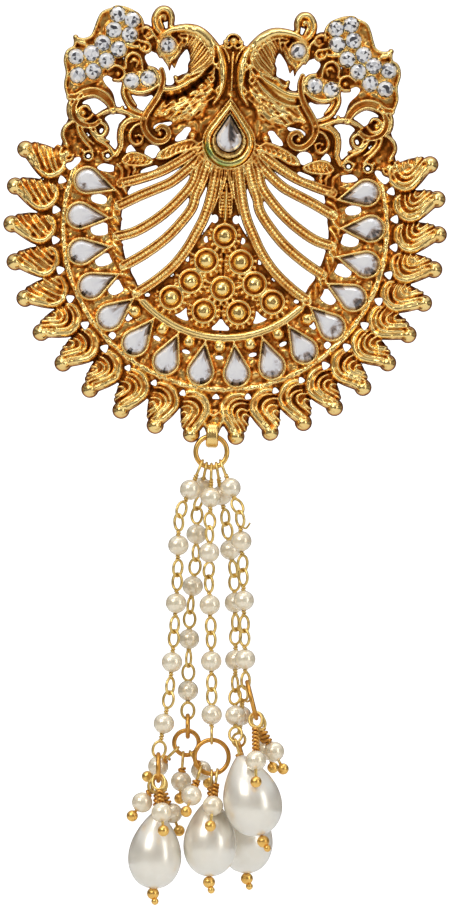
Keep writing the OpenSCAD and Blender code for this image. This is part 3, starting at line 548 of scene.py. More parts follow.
# The crown, drawn on its left side and mirrored: the small stones, the grounds and the gaps
CHATONS = [(-17.5, 31.3), (-15.3, 30.6), (-18.0, 28.95), (-15.6, 28.3), (-19.6, 26.9), (-17.2, 26.1),
           (-23.5, 24.7), (-21.2, 25.3), (-18.9, 24.3), (-20.8, 22.6), (-23.1, 21.9), (-15.0, 21.4),
           (-12.5, 21.9), (-9.8, 27.0)]
EYE_STONE = CHATONS[-1]
CLUSTER = [(-24.9, 25.0), (-24.6, 26.0), (-23.5, 26.3), (-23.8, 27.5), (-22.6, 27.4), (-21.4, 27.9),
           (-20.9, 29.0), (-20.5, 30.2), (-19.9, 31.6), (-18.8, 32.0), (-17.3, 32.6), (-15.8, 32.2),
           (-14.4, 31.4), (-13.9, 30.2), (-13.8, 28.8), (-14.4, 27.6), (-15.9, 26.8), (-16.4, 25.6),
           (-17.3, 24.6), (-18.3, 23.6), (-19.0, 22.6), (-19.2, 21.7), (-20.2, 20.9), (-21.5, 20.3),
           (-22.9, 19.6), (-24.3, 18.3), (-24.7, 20.5), (-24.5, 22.2), (-25.0, 24.0)]
BIRD = [(-9.4, 29.6), (-8.0, 30.0), (-6.8, 30.2), (-5.7, 30.05), (-4.8, 29.7), (-3.9, 29.0), (-3.0, 28.3),
        (-2.2, 27.6), (-1.7, 27.0), (-1.3, 26.3), (-1.1, 25.5), (-0.9, 24.5), (-0.9, 23.5), (-1.0, 22.5),
        (-1.1, 21.5), (-1.0, 20.5), (-1.3, 19.8), (-3.4, 18.2), (-3.9, 16.4), (-5.5, 16.0), (-7.0, 15.6),
        (-8.6, 15.2), (-9.2, 15.6), (-10.2, 15.9), (-11.3, 15.9), (-11.8, 16.5), (-11.3, 17.6),
        (-10.5, 18.8), (-10.1, 19.6), (-10.0, 20.8), (-9.0, 21.0), (-8.5, 21.3), (-8.6, 22.4), (-7.9, 22.0),
        (-7.2, 22.4), (-6.3, 23.2), (-6.8, 23.9), (-6.4, 24.9), (-6.6, 26.0), (-7.1, 26.9), (-7.6, 27.6),
        (-8.6, 28.6)]
CROWN_GROUND = [(-26.1, 10.2), (-25.3, 11.0), (-24.9, 12.5), (-24.8, 14.0), (-24.2, 15.6), (-24.0, 17.0),
                (-24.3, 18.6), (-24.4, 20.0), (-22.0, 24.0), (-18.0, 28.0), (-14.2, 29.9), (-12.8, 30.0),
                (-11.8, 29.3), (-10.6, 29.6), (-9.0, 29.4), (-6.0, 29.6), (-3.5, 27.8), (-1.6, 27.4),
                (-1.0, 27.3), (0.2, 27.3), (0.2, 19.0), (-2.0, 18.0), (-4.0, 15.6), (-4.2, 13.0),
                (-3.8, 11.9), (-5.4, 10.9), (-7.5, 9.4), (-10.0, 7.9), (-13.0, 6.7), (-15.9, 5.8),
                (-16.6, 6.9), (-18.0, 7.3), (-20.5, 8.2), (-23.0, 7.2), (-24.8, 7.4), (-26.3, 8.8)]
CROWN_GAPS = [
    [(-16.5, 25.0), (-15.9, 25.0), (-15.8, 24.2), (-16.1, 23.7), (-16.5, 24.1)],
    [(-19.3, 21.8), (-18.7, 22.1), (-18.0, 21.8), (-16.9, 21.3), (-16.2, 21.1), (-16.1, 20.0), (-16.2, 18.9),
     (-15.8, 17.7), (-15.5, 17.3), (-16.9, 17.4), (-17.3, 18.1), (-17.6, 19.2), (-18.0, 19.9),
     (-18.8, 20.7), (-19.2, 21.3)],
    [(-22.3, 17.8), (-21.7, 18.3), (-20.6, 18.6), (-19.4, 18.5), (-18.5, 18.0), (-18.0, 17.3), (-18.6, 16.9),
     (-19.5, 16.5), (-20.2, 16.2), (-20.7, 16.6), (-21.2, 17.2), (-21.8, 17.4), (-22.2, 17.2)],
    [(-18.8, 15.7), (-18.0, 16.3), (-17.0, 16.4), (-16.1, 16.4), (-15.6, 16.1), (-16.2, 15.4), (-16.7, 14.8),
     (-16.6, 14.0), (-16.8, 13.2), (-16.8, 12.3), (-16.6, 11.7), (-17.0, 11.1), (-17.6, 11.6),
     (-18.3, 12.3), (-18.7, 12.9), (-18.1, 13.4), (-18.0, 14.3), (-18.4, 15.1)],
    [(-19.5, 13.8), (-19.2, 14.2), (-18.8, 14.1), (-18.7, 13.4), (-19.2, 13.2)],
    [(-21.7, 13.0), (-21.3, 13.4), (-20.9, 12.9), (-20.9, 12.2), (-21.4, 12.0), (-21.7, 12.5)],
    [(-15.3, 11.3), (-14.8, 11.9), (-14.4, 11.6), (-13.9, 10.9), (-14.4, 10.5), (-15.3, 10.5)],
    [(-24.3, 8.5), (-23.5, 9.4), (-22.3, 9.7), (-22.1, 9.3), (-22.5, 8.6), (-23.5, 7.7), (-24.1, 8.0)],
    [(-19.6, 8.3), (-18.8, 8.9), (-17.8, 8.8), (-16.9, 8.6), (-16.9, 8.0), (-17.4, 7.7), (-18.4, 7.7),
     (-19.2, 7.9)],
    [(-13.3, 7.7), (-12.6, 8.35), (-11.7, 8.7), (-10.7, 9.0), (-10.6, 8.5), (-12.0, 7.9)],
    [(-14.9, 19.5), (-13.9, 19.3), (-12.8, 19.2), (-11.9, 19.5), (-11.7, 19.0), (-12.0, 17.9), (-12.5, 17.1),
     (-13.1, 17.0), (-14.0, 17.5), (-14.7, 18.4)],
    [(-13.2, 25.2), (-12.7, 26.1), (-11.8, 25.9), (-10.8, 25.4), (-9.7, 24.6), (-9.1, 24.3), (-8.7, 23.6),
     (-8.4, 24.3), (-8.1, 25.1), (-7.6, 25.9), (-7.0, 26.6), (-6.7, 26.2), (-6.4, 25.1), (-6.7, 24.3),
     (-6.7, 23.2), (-7.5, 22.8), (-8.2, 22.4), (-8.4, 21.9), (-8.9, 21.2), (-9.7, 21.1), (-10.3, 21.6),
     (-10.8, 22.4), (-11.5, 23.1), (-12.4, 23.7), (-12.9, 24.4)],
    [(-11.4, 14.8), (-10.7, 15.3), (-9.7, 15.5), (-8.7, 15.6), (-8.9, 15.1), (-9.9, 14.8), (-10.7, 14.5),
     (-11.3, 14.4)],
    [(-8.1, 12.8), (-7.9, 13.5), (-7.2, 14.2), (-6.6, 14.9), (-5.8, 14.8), (-6.0, 14.1), (-6.4, 13.4),
     (-6.6, 12.9), (-7.3, 12.7)],
    [(-12.6, 10.8), (-12.3, 11.7), (-11.6, 12.0), (-10.8, 11.9), (-10.3, 11.3), (-10.5, 10.5), (-11.3, 10.0),
     (-12.2, 10.2)],
    [(-11.3, 28.6), (-11.1, 29.4), (-10.7, 30.2), (-10.3, 31.0), (-10.1, 30.3), (-10.3, 29.4), (-10.7, 28.8),
     (-11.1, 28.4)],
]
SETTING_GROUND = [(-4.8, 17.2), (-4.6, 14.6), (-4.3, 12.2), (-3.4, 11.2), (0.2, 11.2), (0.2, 19.6),
                  (-2.4, 19.4)]
PAIR_GROUND = [(-16.2, 21.4), (-15.6, 20.2), (-14.0, 19.7), (-12.2, 20.2), (-11.0, 21.2), (-11.2, 22.6),
               (-12.4, 23.4), (-14.0, 23.2), (-15.6, 22.8)]


def crown_ground():
    """The grounds of the crown, cut through by its gaps."""
    for pts in both(CROWN_GROUND):
        area(pts, 1.25, n=3, edge=0.3, rough=0.3, size=0.5)
    for pts in both(SETTING_GROUND):
        area(pts, 1.3, smoothed=False, edge=0.2, rough=0.4, size=0.6)
    for pts in both(CLUSTER):
        area(pts, 1.45, n=4, edge=0.4, rough=0.15)
    for pts in both(BIRD):
        area(pts, 1.75, n=4, crown=0.2, edge=0.6)
    for shape in CROWN_GAPS:
        for pts in both(shape):
            gap(pts, 3)
    for pts in both(PAIR_GROUND):
        area(pts, 1.5, n=4, edge=0.4)


# The left peacock: its head, and strokes with their points, half width, top, low and ends
HEAD = [(-11.1, 27.4), (-11.2, 26.4), (-10.6, 25.3), (-9.9, 24.4), (-9.4, 23.2), (-9.1, 24.3), (-8.5, 25.2),
        (-7.9, 25.9), (-7.6, 27.0), (-8.4, 28.2), (-9.8, 28.6)]
# the two lines down to the beak
BEAK_STROKES = [
    ([(-11.15, 26.9), (-10.9, 25.9), (-10.3, 25.2), (-9.9, 24.6), (-9.5, 23.9)], 0.3, 2.1, 1.3, (1, 0.5)),
    ([(-7.5, 27.5), (-8.0, 26.2), (-8.6, 25.3), (-9.2, 24.7)], 0.26, 2.0, 1.3, (1, 0.5)),
]
# the rim of the neck and back: one broad smooth line round the top and down the inner side
BACK_RIM = [(-10.9, 28.3), (-10.2, 28.9), (-9.0, 29.4), (-7.4, 29.65), (-5.9, 29.5), (-4.5, 28.8),
            (-3.2, 27.5), (-2.25, 26.2), (-1.7, 24.8), (-1.4, 23.1), (-1.4, 21.4), (-1.75, 19.9),
            (-2.6, 18.5)]
INNER_RIM = [(-8.0, 28.75), (-6.9, 28.8), (-5.8, 28.5), (-4.7, 27.8), (-3.7, 26.7), (-3.0, 25.4),
             (-2.7, 23.8), (-2.7, 22.0)]
# feather lines that sweep from the neck's rim down to the throat
FEATHERS = [
    [(-6.9, 28.6), (-6.9, 28.0), (-7.2, 27.2)], [(-5.0, 29.0), (-5.9, 27.9), (-6.5, 27.0)],
    [(-4.4, 28.7), (-5.5, 27.2), (-6.4, 25.4)], [(-3.7, 28.2), (-4.9, 26.5), (-6.3, 24.3)],
    [(-3.1, 27.6), (-4.4, 25.5), (-6.3, 23.5)], [(-2.8, 26.8), (-4.0, 24.7), (-6.2, 22.9)],
    [(-2.6, 25.7), (-3.6, 24.0), (-6.4, 22.5)], [(-2.5, 24.6), (-3.3, 23.3), (-4.9, 22.5)],
]
THROAT_STROKES = [
    # curls behind the eye
    ([(-8.5, 26.2), (-8.1, 27.2), (-7.7, 27.9), (-8.3, 28.5)], 0.24, 2.45, 1.5, (0.6, 0.9)),
    ([(-7.3, 27.0), (-7.0, 27.6), (-7.3, 28.2), (-7.9, 28.1)], 0.24, 2.45, 1.5, (0.6, 0.9)),
    # the collar: a smooth band under the throat with a curl at its tip
    ([(-10.0, 20.35), (-8.8, 20.45), (-7.5, 20.95), (-6.2, 21.75), (-5.0, 22.4), (-4.0, 23.6)], 0.52, 2.5,
     1.3, (1.0, 0.4)),
    ([(-8.5, 22.3), (-8.2, 21.6), (-7.4, 21.9), (-6.8, 22.6), (-5.9, 22.9)], 0.34, 2.4, 1.3, (0.9, 0.4)),
]
COLLAR_LINE = [(-10.3, 18.9), (-9.4, 18.75), (-8.2, 19.0), (-7.0, 19.4), (-5.9, 20.1), (-4.9, 20.9),
               (-4.1, 22.0)]


def peacock(m):
    """One peacock's head, neck and collar, all its points multiplied by m."""
    def line(pts, *sizes, **more):
        stroke(np.multiply(pts, m), *sizes, **more)

    area(np.multiply(HEAD, m), 1.7, n=4, edge=0.35)
    loop(np.multiply(EYE_STONE, m), 1.32, 0.3, 2.3, low=1.4, fill=1.5)
    for pts, r, top, low, ends in BEAK_STROKES:
        line(pts, r, top, low, ends=ends)
    line(BACK_RIM, 0.84, 2.9, 1.5, ends=(0.55, 0.3), uneven=0.25)
    line(INNER_RIM, 0.24, 2.4, 1.6, ends=(0.5, 0.6))
    for k, pts in enumerate(FEATHERS):
        line(pts, 0.24, 2.5, 1.5, ends=(0.9, 0.5))
        if k:
            line((np.array(pts) + FEATHERS[k - 1]) / 2, 0.15, 2.2, 1.6, ends=(0.9, 0.4))
    for pts, r, top, low, ends in THROAT_STROKES:
        line(pts, r, top, low, ends=ends)
    dome((-8.35 * m[0], 22.2), 0.36, 2.45, low=1.3)
    line(COLLAR_LINE, 0.22, 2.05, 1.5, ends=(0.9, 0.4))


def groove(points, half, deep):
    """A ragged dark line sunk into the metal."""
    path = smooth(points, 6)
    w, uu, vv = window(path, half * 2)
    d, _, _, _ = near(path, uu, vv)
    wobble = half * (0.75 + 0.5 * grain(uu, vv, 0.5, 41))
    H[w] -= deep * np.exp(-(d / wobble) ** 2) * (S[w] > 0.05)


# The grooves of the left bird, and the outlines of its breast and neck
COLLAR_GROOVE = [(-10.2, 19.1), (-9.0, 19.2), (-7.4, 19.75), (-6.2, 20.6), (-5.1, 21.6), (-4.0, 22.7),
                 (-3.2, 23.9)]
BACK_GROOVE = [(-2.65, 27.0), (-2.35, 25.0), (-2.3, 22.8), (-2.5, 20.8)]
SIDE_CRACKS = [
    [(-9.4, 19.2), (-9.6, 18.4)], [(-8.2, 19.5), (-8.1, 18.7)], [(-7.0, 20.0), (-6.2, 19.4), (-5.7, 19.5)],
    [(-5.8, 21.0), (-4.9, 20.6)], [(-4.6, 22.1), (-3.9, 21.5)],
]
BREAST = [(-11.2, 16.4), (-10.2, 16.1), (-8.7, 15.7), (-7.4, 15.4), (-6.1, 15.2), (-4.9, 15.9), (-4.0, 17.0),
          (-3.2, 18.0), (-2.6, 19.0), (-2.3, 20.6), (-3.2, 22.6), (-4.6, 20.9), (-6.1, 19.7), (-8.2, 18.8),
          (-10.2, 18.6), (-10.9, 17.5)]
NECK = [(-8.6, 28.6), (-6.9, 28.7), (-4.5, 27.6), (-3.0, 25.2), (-3.2, 23.3), (-5.0, 22.4), (-6.5, 22.4),
        (-6.3, 24.0), (-6.7, 26.5), (-7.8, 27.9)]
# small curls on the axis side: points and half width
AXIS_CURLS = [
    ([(-1.9, 21.2), (-2.3, 20.5), (-1.9, 19.9), (-1.4, 20.3)], 0.2),
    ([(-3.6, 22.5), (-3.1, 21.7), (-2.6, 22.3), (-3.0, 22.8)], 0.2),
    ([(-2.0, 25.0), (-2.4, 24.2), (-1.9, 23.6)], 0.18),
]


def plumage():
    """The birds' grooves, the feather strokes of their breasts and the painted shade between the feathers.
    """
    # the groove is deep and ragged on the left bird and only a fine line on the right one
    for pts, half, deep in zip(both(COLLAR_GROOVE), (0.42, 0.22), (1.15, 0.45)):
        groove(pts, half, deep)
    for pts in SIDE_CRACKS:
        groove(pts, 0.2, 0.8)
    for pts, deep in zip(both(BACK_GROOVE), (0.8, 0.5)):
        groove(pts, 0.2, deep)
    for pts in both(BREAST):
        path = smooth(pts, 4, closed=True)
        w, uu, vv = window(path, 0.3)
        s = inside_of(path, uu, vv)
        # short strokes of feather that run down towards the tail
        run = 0.84 * np.abs(uu) - 0.54 * (vv - 16)
        across = 0.54 * np.abs(uu) + 0.84 * (vv - 16) + 0.12 * np.sin(1.7 * run)
        bumps = 0.75 * grain(across, run * 0.3, 0.26, 51) + 0.25 * grain(uu, vv, 0.4, 52)
        bulge = 0.35 * (1 - np.exp(-np.clip(s, 0, None) / 0.9))
        keep_groove = np.minimum(H[w] - 1.75, 0)
        # the right bird is less rugged, and the painted shade in the low places between its strokes is
        # darker; both also get random darker blotches
        rugged, dark = (1.15, 0.32) if pts[0][0] < 0 else (0.85, 0.6)
        H[w] = np.where(s > 0, 1.75 + bulge + keep_groove + rugged * (bumps - 0.5) * np.clip(s / 0.4, 0, 1),
                        H[w])
        flecks = np.clip(1.6 * (0.62 - bumps), 0, 1) + 0.5 * np.clip(grain(uu, vv, 0.9, 53) - 0.45, 0, 1)
        SHADE[w] = np.where(s > 0, dark * flecks, SHADE[w])
    # painted shade lies between the feathers of the neck too
    for pts in both(NECK):
        path = smooth(pts, 3, closed=True)
        w, uu, vv = window(path, 0.1)
        low = (inside_of(path, uu, vv) > 0.05) & (H[w] < 2.16)
        SHADE[w] = np.where(low, 0.5 * np.clip(1.5 * grain(uu, vv, 1.2, 54) - 0.1, 0, 1), SHADE[w])
    for pts, r in AXIS_CURLS:
        for side_pts in both(pts):
            stroke(side_pts, r, 2.6, low=1.9)


# The scrolls: points of the left side, half width, top, low, style, ends
SCROLLS = [
    # arch over the left group, thick, with a groove
    ([(-24.2, 18.6), (-23.0, 18.7), (-21.8, 19.3), (-20.4, 19.5), (-19.1, 19.0), (-18.1, 18.0),
      (-17.6, 16.9)], 0.72, 2.45, 0.9, "rail", (0.6, 0.7)),
    ([(-19.9, 15.9), (-18.6, 16.7), (-17.2, 17.0), (-15.7, 16.7), (-14.2, 16.1), (-12.8, 15.8)], 0.42, 2.2,
     0.9, "round", (0.8, 1.0)),
    # big S
    ([(-22.4, 18.9), (-23.1, 18.0), (-23.5, 16.9), (-23.3, 15.7), (-22.5, 14.8), (-21.3, 14.4),
      (-20.2, 14.6), (-19.5, 15.2)], 0.45, 2.45, 0.9, "rail", (0.7, 0.8)),
    ([(-21.0, 16.7), (-21.5, 17.3), (-22.4, 17.1), (-22.8, 16.2), (-22.3, 15.5), (-21.3, 15.4),
      (-20.6, 16.1)], 0.34, 2.5, 1.1, "round", (0.6, 0.8)),
    ([(-23.9, 18.4), (-24.2, 17.3), (-24.1, 16.0), (-23.4, 14.8)], 0.34, 2.1, 0.9, "round", (0.7, 0.7)),
    ([(-19.3, 15.0), (-18.6, 14.5), (-18.5, 13.7), (-19.0, 13.0), (-19.9, 12.9), (-20.4, 13.5)], 0.4, 2.3,
     0.9, "round", (0.9, 0.6)),
    # strokes running down to the rings
    ([(-23.6, 14.9), (-24.6, 14.0), (-24.9, 12.9), (-24.5, 11.9), (-24.1, 11.2)], 0.36, 2.2, 0.9, "round",
     (0.8, 0.8)),
    ([(-22.9, 14.4), (-22.6, 13.3), (-21.8, 12.2), (-20.9, 11.3), (-20.3, 10.6)], 0.34, 2.3, 0.9, "round",
     (0.9, 0.8)),
    ([(-22.2, 14.3), (-21.9, 13.4), (-21.1, 12.4), (-20.2, 11.7)], 0.26, 2.1, 0.9, "round", (0.9, 0.6)),
    ([(-20.9, 14.2), (-20.5, 13.2), (-19.6, 12.3), (-18.6, 11.8), (-17.6, 11.0), (-17.2, 10.1)], 0.34, 2.3,
     0.9, "round", (0.9, 0.8)),
    ([(-20.2, 14.3), (-19.9, 13.4), (-19.1, 12.6), (-18.0, 12.2)], 0.26, 2.1, 0.9, "round", (0.9, 0.6)),
    # stem and loop
    ([(-12.6, 15.9), (-14.2, 15.8), (-15.5, 15.3), (-16.2, 14.2), (-16.3, 12.9), (-16.2, 11.6),
      (-16.8, 10.3)], 0.5, 2.2, 0.9, "grooved_left", (0.9, 0.8)),
    ([(-13.2, 15.2), (-14.2, 14.7), (-14.9, 13.6), (-14.8, 12.6), (-14.0, 11.9), (-13.2, 12.2),
      (-13.0, 13.0), (-13.6, 13.4)], 0.3, 2.35, 1.2, "round", (0.8, 0.6)),
    # S scroll below the pair of stones
    ([(-10.6, 23.3), (-10.3, 22.2), (-10.4, 20.9), (-10.9, 19.4), (-11.6, 18.2), (-12.4, 16.9),
      (-12.9, 15.6), (-12.8, 14.4), (-12.0, 13.2), (-10.9, 12.5), (-9.8, 12.6), (-9.1, 13.4), (-9.3, 14.4),
      (-10.2, 14.8), (-10.9, 14.3)], 0.5, 2.6, 0.9, "rail", (0.7, 0.6)),
    ([(-16.1, 20.9), (-16.2, 19.6), (-15.7, 18.4), (-14.9, 17.4), (-13.6, 16.8), (-12.6, 16.6)], 0.36, 2.1,
     0.9, "round", (0.9, 0.8)),
    ([(-15.5, 20.6), (-15.4, 19.6), (-14.9, 18.6), (-14.2, 17.8)], 0.3, 1.7, 0.8, "round", (0.9, 0.6)),
    # pair pod's lower lip
    ([(-16.0, 20.9), (-14.9, 19.95), (-13.6, 19.7), (-12.2, 20.1), (-11.1, 20.9)], 0.4, 2.4, 1.2, "round",
     (0.6, 0.6)),
    ([(-11.0, 20.9), (-10.9, 22.0), (-11.5, 23.2), (-12.6, 23.6)], 0.3, 2.2, 1.2, "round", (0.8, 0.8)),
    # scroll loops above the pair
    ([(-15.9, 23.4), (-16.0, 24.6), (-15.2, 25.6), (-14.1, 25.3), (-13.6, 24.2), (-13.5, 23.2)], 0.3, 2.3,
     0.9, "round", (0.9, 0.8)),
    ([(-14.4, 23.6), (-14.2, 24.3), (-14.8, 24.8), (-15.3, 24.2)], 0.24, 2.1, 1.1, "round", (0.8, 0.8)),
    ([(-18.6, 22.9), (-17.5, 23.6), (-16.4, 23.2), (-16.1, 22.2), (-16.8, 21.5), (-17.7, 21.5)], 0.3, 2.3,
     0.9, "round", (0.8, 0.8)),
    # crest hook over the head
    ([(-9.5, 28.9), (-9.5, 30.4), (-9.5, 31.4), (-10.1, 32.3), (-11.1, 32.3), (-11.8, 31.4), (-11.9, 30.4),
      (-11.5, 29.4), (-10.8, 28.6), (-10.8, 27.9)], 0.48, 2.4, 0.9, "round", (0.8, 0.9)),
    ([(-10.4, 30.9), (-10.5, 31.4), (-11.0, 31.3), (-11.2, 30.7), (-11.0, 30.1), (-10.7, 29.5),
      (-10.6, 28.9)], 0.36, 2.1, 1.0, "round", (0.9, 0.8)),
    # joining lines between the cluster and the head
    ([(-14.0, 29.3), (-13.2, 29.5), (-12.4, 29.2), (-12.2, 28.4), (-12.8, 27.9), (-13.5, 28.3)], 0.3, 2.1,
     1.0, "round", (0.8, 0.6)),
    ([(-14.2, 27.6), (-13.6, 27.4), (-12.7, 27.2), (-12.4, 26.5), (-13.0, 25.9), (-13.8, 26.2),
      (-14.1, 26.9)], 0.28, 2.1, 1.0, "round", (0.8, 0.8)),
    ([(-12.4, 29.0), (-11.7, 28.2), (-11.3, 27.2), (-11.3, 26.2), (-10.9, 25.3)], 0.28, 2.1, 1.2, "round",
     (0.8, 0.7)),
    ([(-16.5, 26.9), (-15.4, 26.6), (-14.4, 26.6)], 0.34, 1.9, 1.0, "round", (1, 1)),
]
# middle, radius and top of the small knobs among the scrolls
KNOBS = [
    ((-22.0, 16.3), 0.55, 2.7), ((-14.75, 24.5), 0.34, 2.3), ((-17.1, 22.4), 0.48, 2.5),
    ((-5.5, 13.7), 0.68, 2.5), ((-24.3, 11.4), 0.5, 2.4), ((-24.2, 10.1), 0.75, 2.2),
    ((-21.9, 10.7), 0.42, 2.4), ((-18.9, 10.4), 0.42, 2.4), ((-14.0, 13.2), 0.36, 2.4),
    ((-13.7, 12.5), 0.28, 2.2), ((-10.4, 13.7), 0.5, 2.4), ((-12.9, 28.6), 0.42, 2.2),
    ((-13.3, 26.6), 0.4, 2.2), ((-16.2, 17.4), 0.3, 2.0), ((-23.6, 27.2), 0.4, 2.2),
    ((-11.2, 30.9), 0.3, 2.2),
]
RINGLETS = [(-21.0, 9.9), (-18.1, 10.1)]
FOOT_CURL = [(-25.0, 10.9), (-25.3, 9.9), (-24.6, 9.1), (-23.6, 9.2), (-23.2, 10.0)]


def scrolls():
    """The scrolls on both sides with their knobs and ringlets."""
    for pts, r, top, low, style, ends in SCROLLS:
        for side_pts in both(pts):
            stroke(side_pts, r * 1.2, top, low, style, ends, n=6)
    for c, r, top in KNOBS:
        for place in pair(*c):
            dome(place, r, top, low=1.1)
    for c in RINGLETS:
        for place in pair(*c):
            loop(place, 0.68, 0.3, 2.2, low=0.9)
            hole(place, 0.3, 0.3)
    for pts in both(FOOT_CURL):
        stroke(pts, 0.3, 2.1, low=0.9)


# The leaves beside the top of the ring and the dark blocks below them: outline and top
TOP_LEAVES = [
    ([(-16.0, 9.6), (-15.0, 10.5), (-13.6, 10.7), (-12.2, 10.2), (-11.3, 9.5), (-12.2, 8.9), (-13.8, 8.7),
      (-15.4, 8.8)], 1.8),
    ([(-10.8, 9.9), (-10.3, 10.9), (-8.8, 11.9), (-7.2, 12.6), (-5.6, 13.0), (-4.6, 12.4), (-4.2, 11.6),
      (-5.8, 11.4), (-7.6, 10.9), (-9.4, 10.0)], 1.9),
    ([(-17.0, 9.0), (-15.6, 9.4), (-13.4, 9.0), (-13.2, 7.2), (-15.0, 6.4), (-16.8, 6.0)], 1.35),
]
BLOCK_LINES = [
    [(-16.6, 8.8), (-15.9, 8.1), (-15.8, 7.2), (-16.2, 6.3)], [(-15.4, 8.7), (-14.8, 8.0), (-14.9, 7.2)],
    [(-14.2, 8.7), (-13.9, 8.1), (-14.2, 7.5)],
]
OUTER_LEAF_RIM = [(-15.9, 9.5), (-15.0, 10.45), (-13.6, 10.65), (-12.2, 10.15), (-11.3, 9.5), (-12.2, 8.95),
                  (-13.8, 8.75), (-15.3, 8.9), (-15.9, 9.5)]
INNER_LEAF_RIMS = [
    [(-10.7, 10.0), (-10.2, 10.9), (-8.8, 11.85), (-7.2, 12.55), (-5.6, 12.95), (-4.6, 12.4)],
    [(-10.6, 9.9), (-9.2, 10.1), (-7.6, 10.95), (-5.9, 11.5), (-4.5, 11.9)],
]


def top_leaves():
    """Two hatched leaves on each side of the panel's top, and the dark blocks below them."""
    for pts, top in TOP_LEAVES:
        for side_pts in both(pts):
            area(side_pts, top, n=4, edge=0.35, rough=0.7 if top < 1.5 else 0.1, size=0.6)
    for pts in BLOCK_LINES:
        for side_pts in both(pts):
            stroke(side_pts, 0.36, 2.1, low=1.2, ends=(0.9, 0.6))
    for pts in both(OUTER_LEAF_RIM):
        stroke(pts, 0.24, 2.4, low=1.5)
    for rim in INNER_LEAF_RIMS:
        for pts in both(rim):
            stroke(pts, 0.26, 2.45, low=1.5)
    for k in range(6):
        t = k / 5
        hatch = [(-15.2 + 3.4 * t, 9.1 + 0.05 * k), (-14.8 + 3.4 * t, 9.6),
                 (-14.8 + 3.2 * t, 10.15 - 0.35 * abs(t - 0.35))]
        for pts in both(hatch):
            stroke(pts, 0.2, 2.3, low=1.5, ends=(0.7, 0.7), n=3)
    for k in range(8):
        t = k / 7
        a = np.array([-10.2, 10.1]) * (1 - t) + np.array([-5.0, 11.7]) * t
        b = a + np.array([0.35, 1.05 - 0.25 * abs(t - 0.5)])
        for pts in both([a, (a + b) / 2 + np.array([-0.12, 0.05]), b]):
            stroke(pts, 0.22, 2.35, low=1.5, ends=(0.7, 0.7), n=3)


# The curved rims along the cluster's outline
CLUSTER_RIM = [(-24.4, 18.6), (-24.9, 20.4), (-24.7, 22.2), (-25.1, 24.0), (-24.8, 25.4), (-23.8, 26.2),
               (-23.6, 27.3), (-22.4, 27.3), (-21.3, 27.8), (-20.8, 28.9), (-20.4, 30.2), (-19.8, 31.4),
               (-18.6, 32.0), (-17.2, 32.4), (-15.6, 32.0), (-14.3, 31.2), (-13.7, 30.0), (-13.7, 28.8)]
CLUSTER_SPUR = [(-23.7, 27.6), (-23.2, 26.9), (-22.2, 26.7)]
# the top of the axis, where the birds meet
AXIS_GROUND = [(-1.8, 27.3), (-1.2, 26.6), (-0.8, 24.6), (-0.7, 22.0), (-0.7, 19.6), (0.7, 19.6),
               (0.7, 22.0), (0.8, 24.6), (1.2, 26.6), (1.8, 27.3), (1.0, 28.0), (-1.0, 28.0)]
AXIS_LINES = [
    ([(-1.75, 27.3), (-1.2, 26.7), (-0.75, 25.9), (-0.5, 24.8)], 0.22, 2.1, (1, 0.6)),
    ([(-1.3, 28.0), (-1.25, 27.4), (-0.6, 27.0), (-0.2, 27.3)], 0.26, 2.3, (1, 1)),
]
AXIS_KNOB = [(-0.8, 27.6), (-1.0, 28.3), (-0.5, 28.95), (0.3, 29.0), (0.95, 28.5), (0.9, 27.8)]


def cluster_rims():
    """The raised lines round the stone clusters."""
    for pts in both(CLUSTER_RIM):
        stroke(pts, 0.26, 2.25, low=1.3, n=5)
    for pts in both(CLUSTER_SPUR):
        stroke(pts, 0.42, 2.3, low=1.1)


def axis_top():
    """The ground, lines and knob where the birds meet."""
    area(AXIS_GROUND, 1.3, n=3, edge=0.3, rough=0.25)
    for pts, r, top, ends in AXIS_LINES:
        for side_pts in both(pts):
            stroke(side_pts, r, top, low=1.3, ends=ends)
    stroke([(0.02, 26.4), (-0.03, 24.5), (0.03, 22.6), (0.0, 20.6)], 0.22, 1.9, low=1.2, ends=(1.2, 0.6))
    stroke(AXIS_KNOB, 0.24, 2.2, low=1.0)
    dome((0.05, 28.0), 0.72, 2.9, low=1.3)


CENTRE_STONE_V = 13.3


def up_drop(cv, r, tip_v, uu, vv):
    """Signed distance to an upright teardrop on the axis."""
    return drop_inside(vv - cv, uu, r, tip_v - cv)


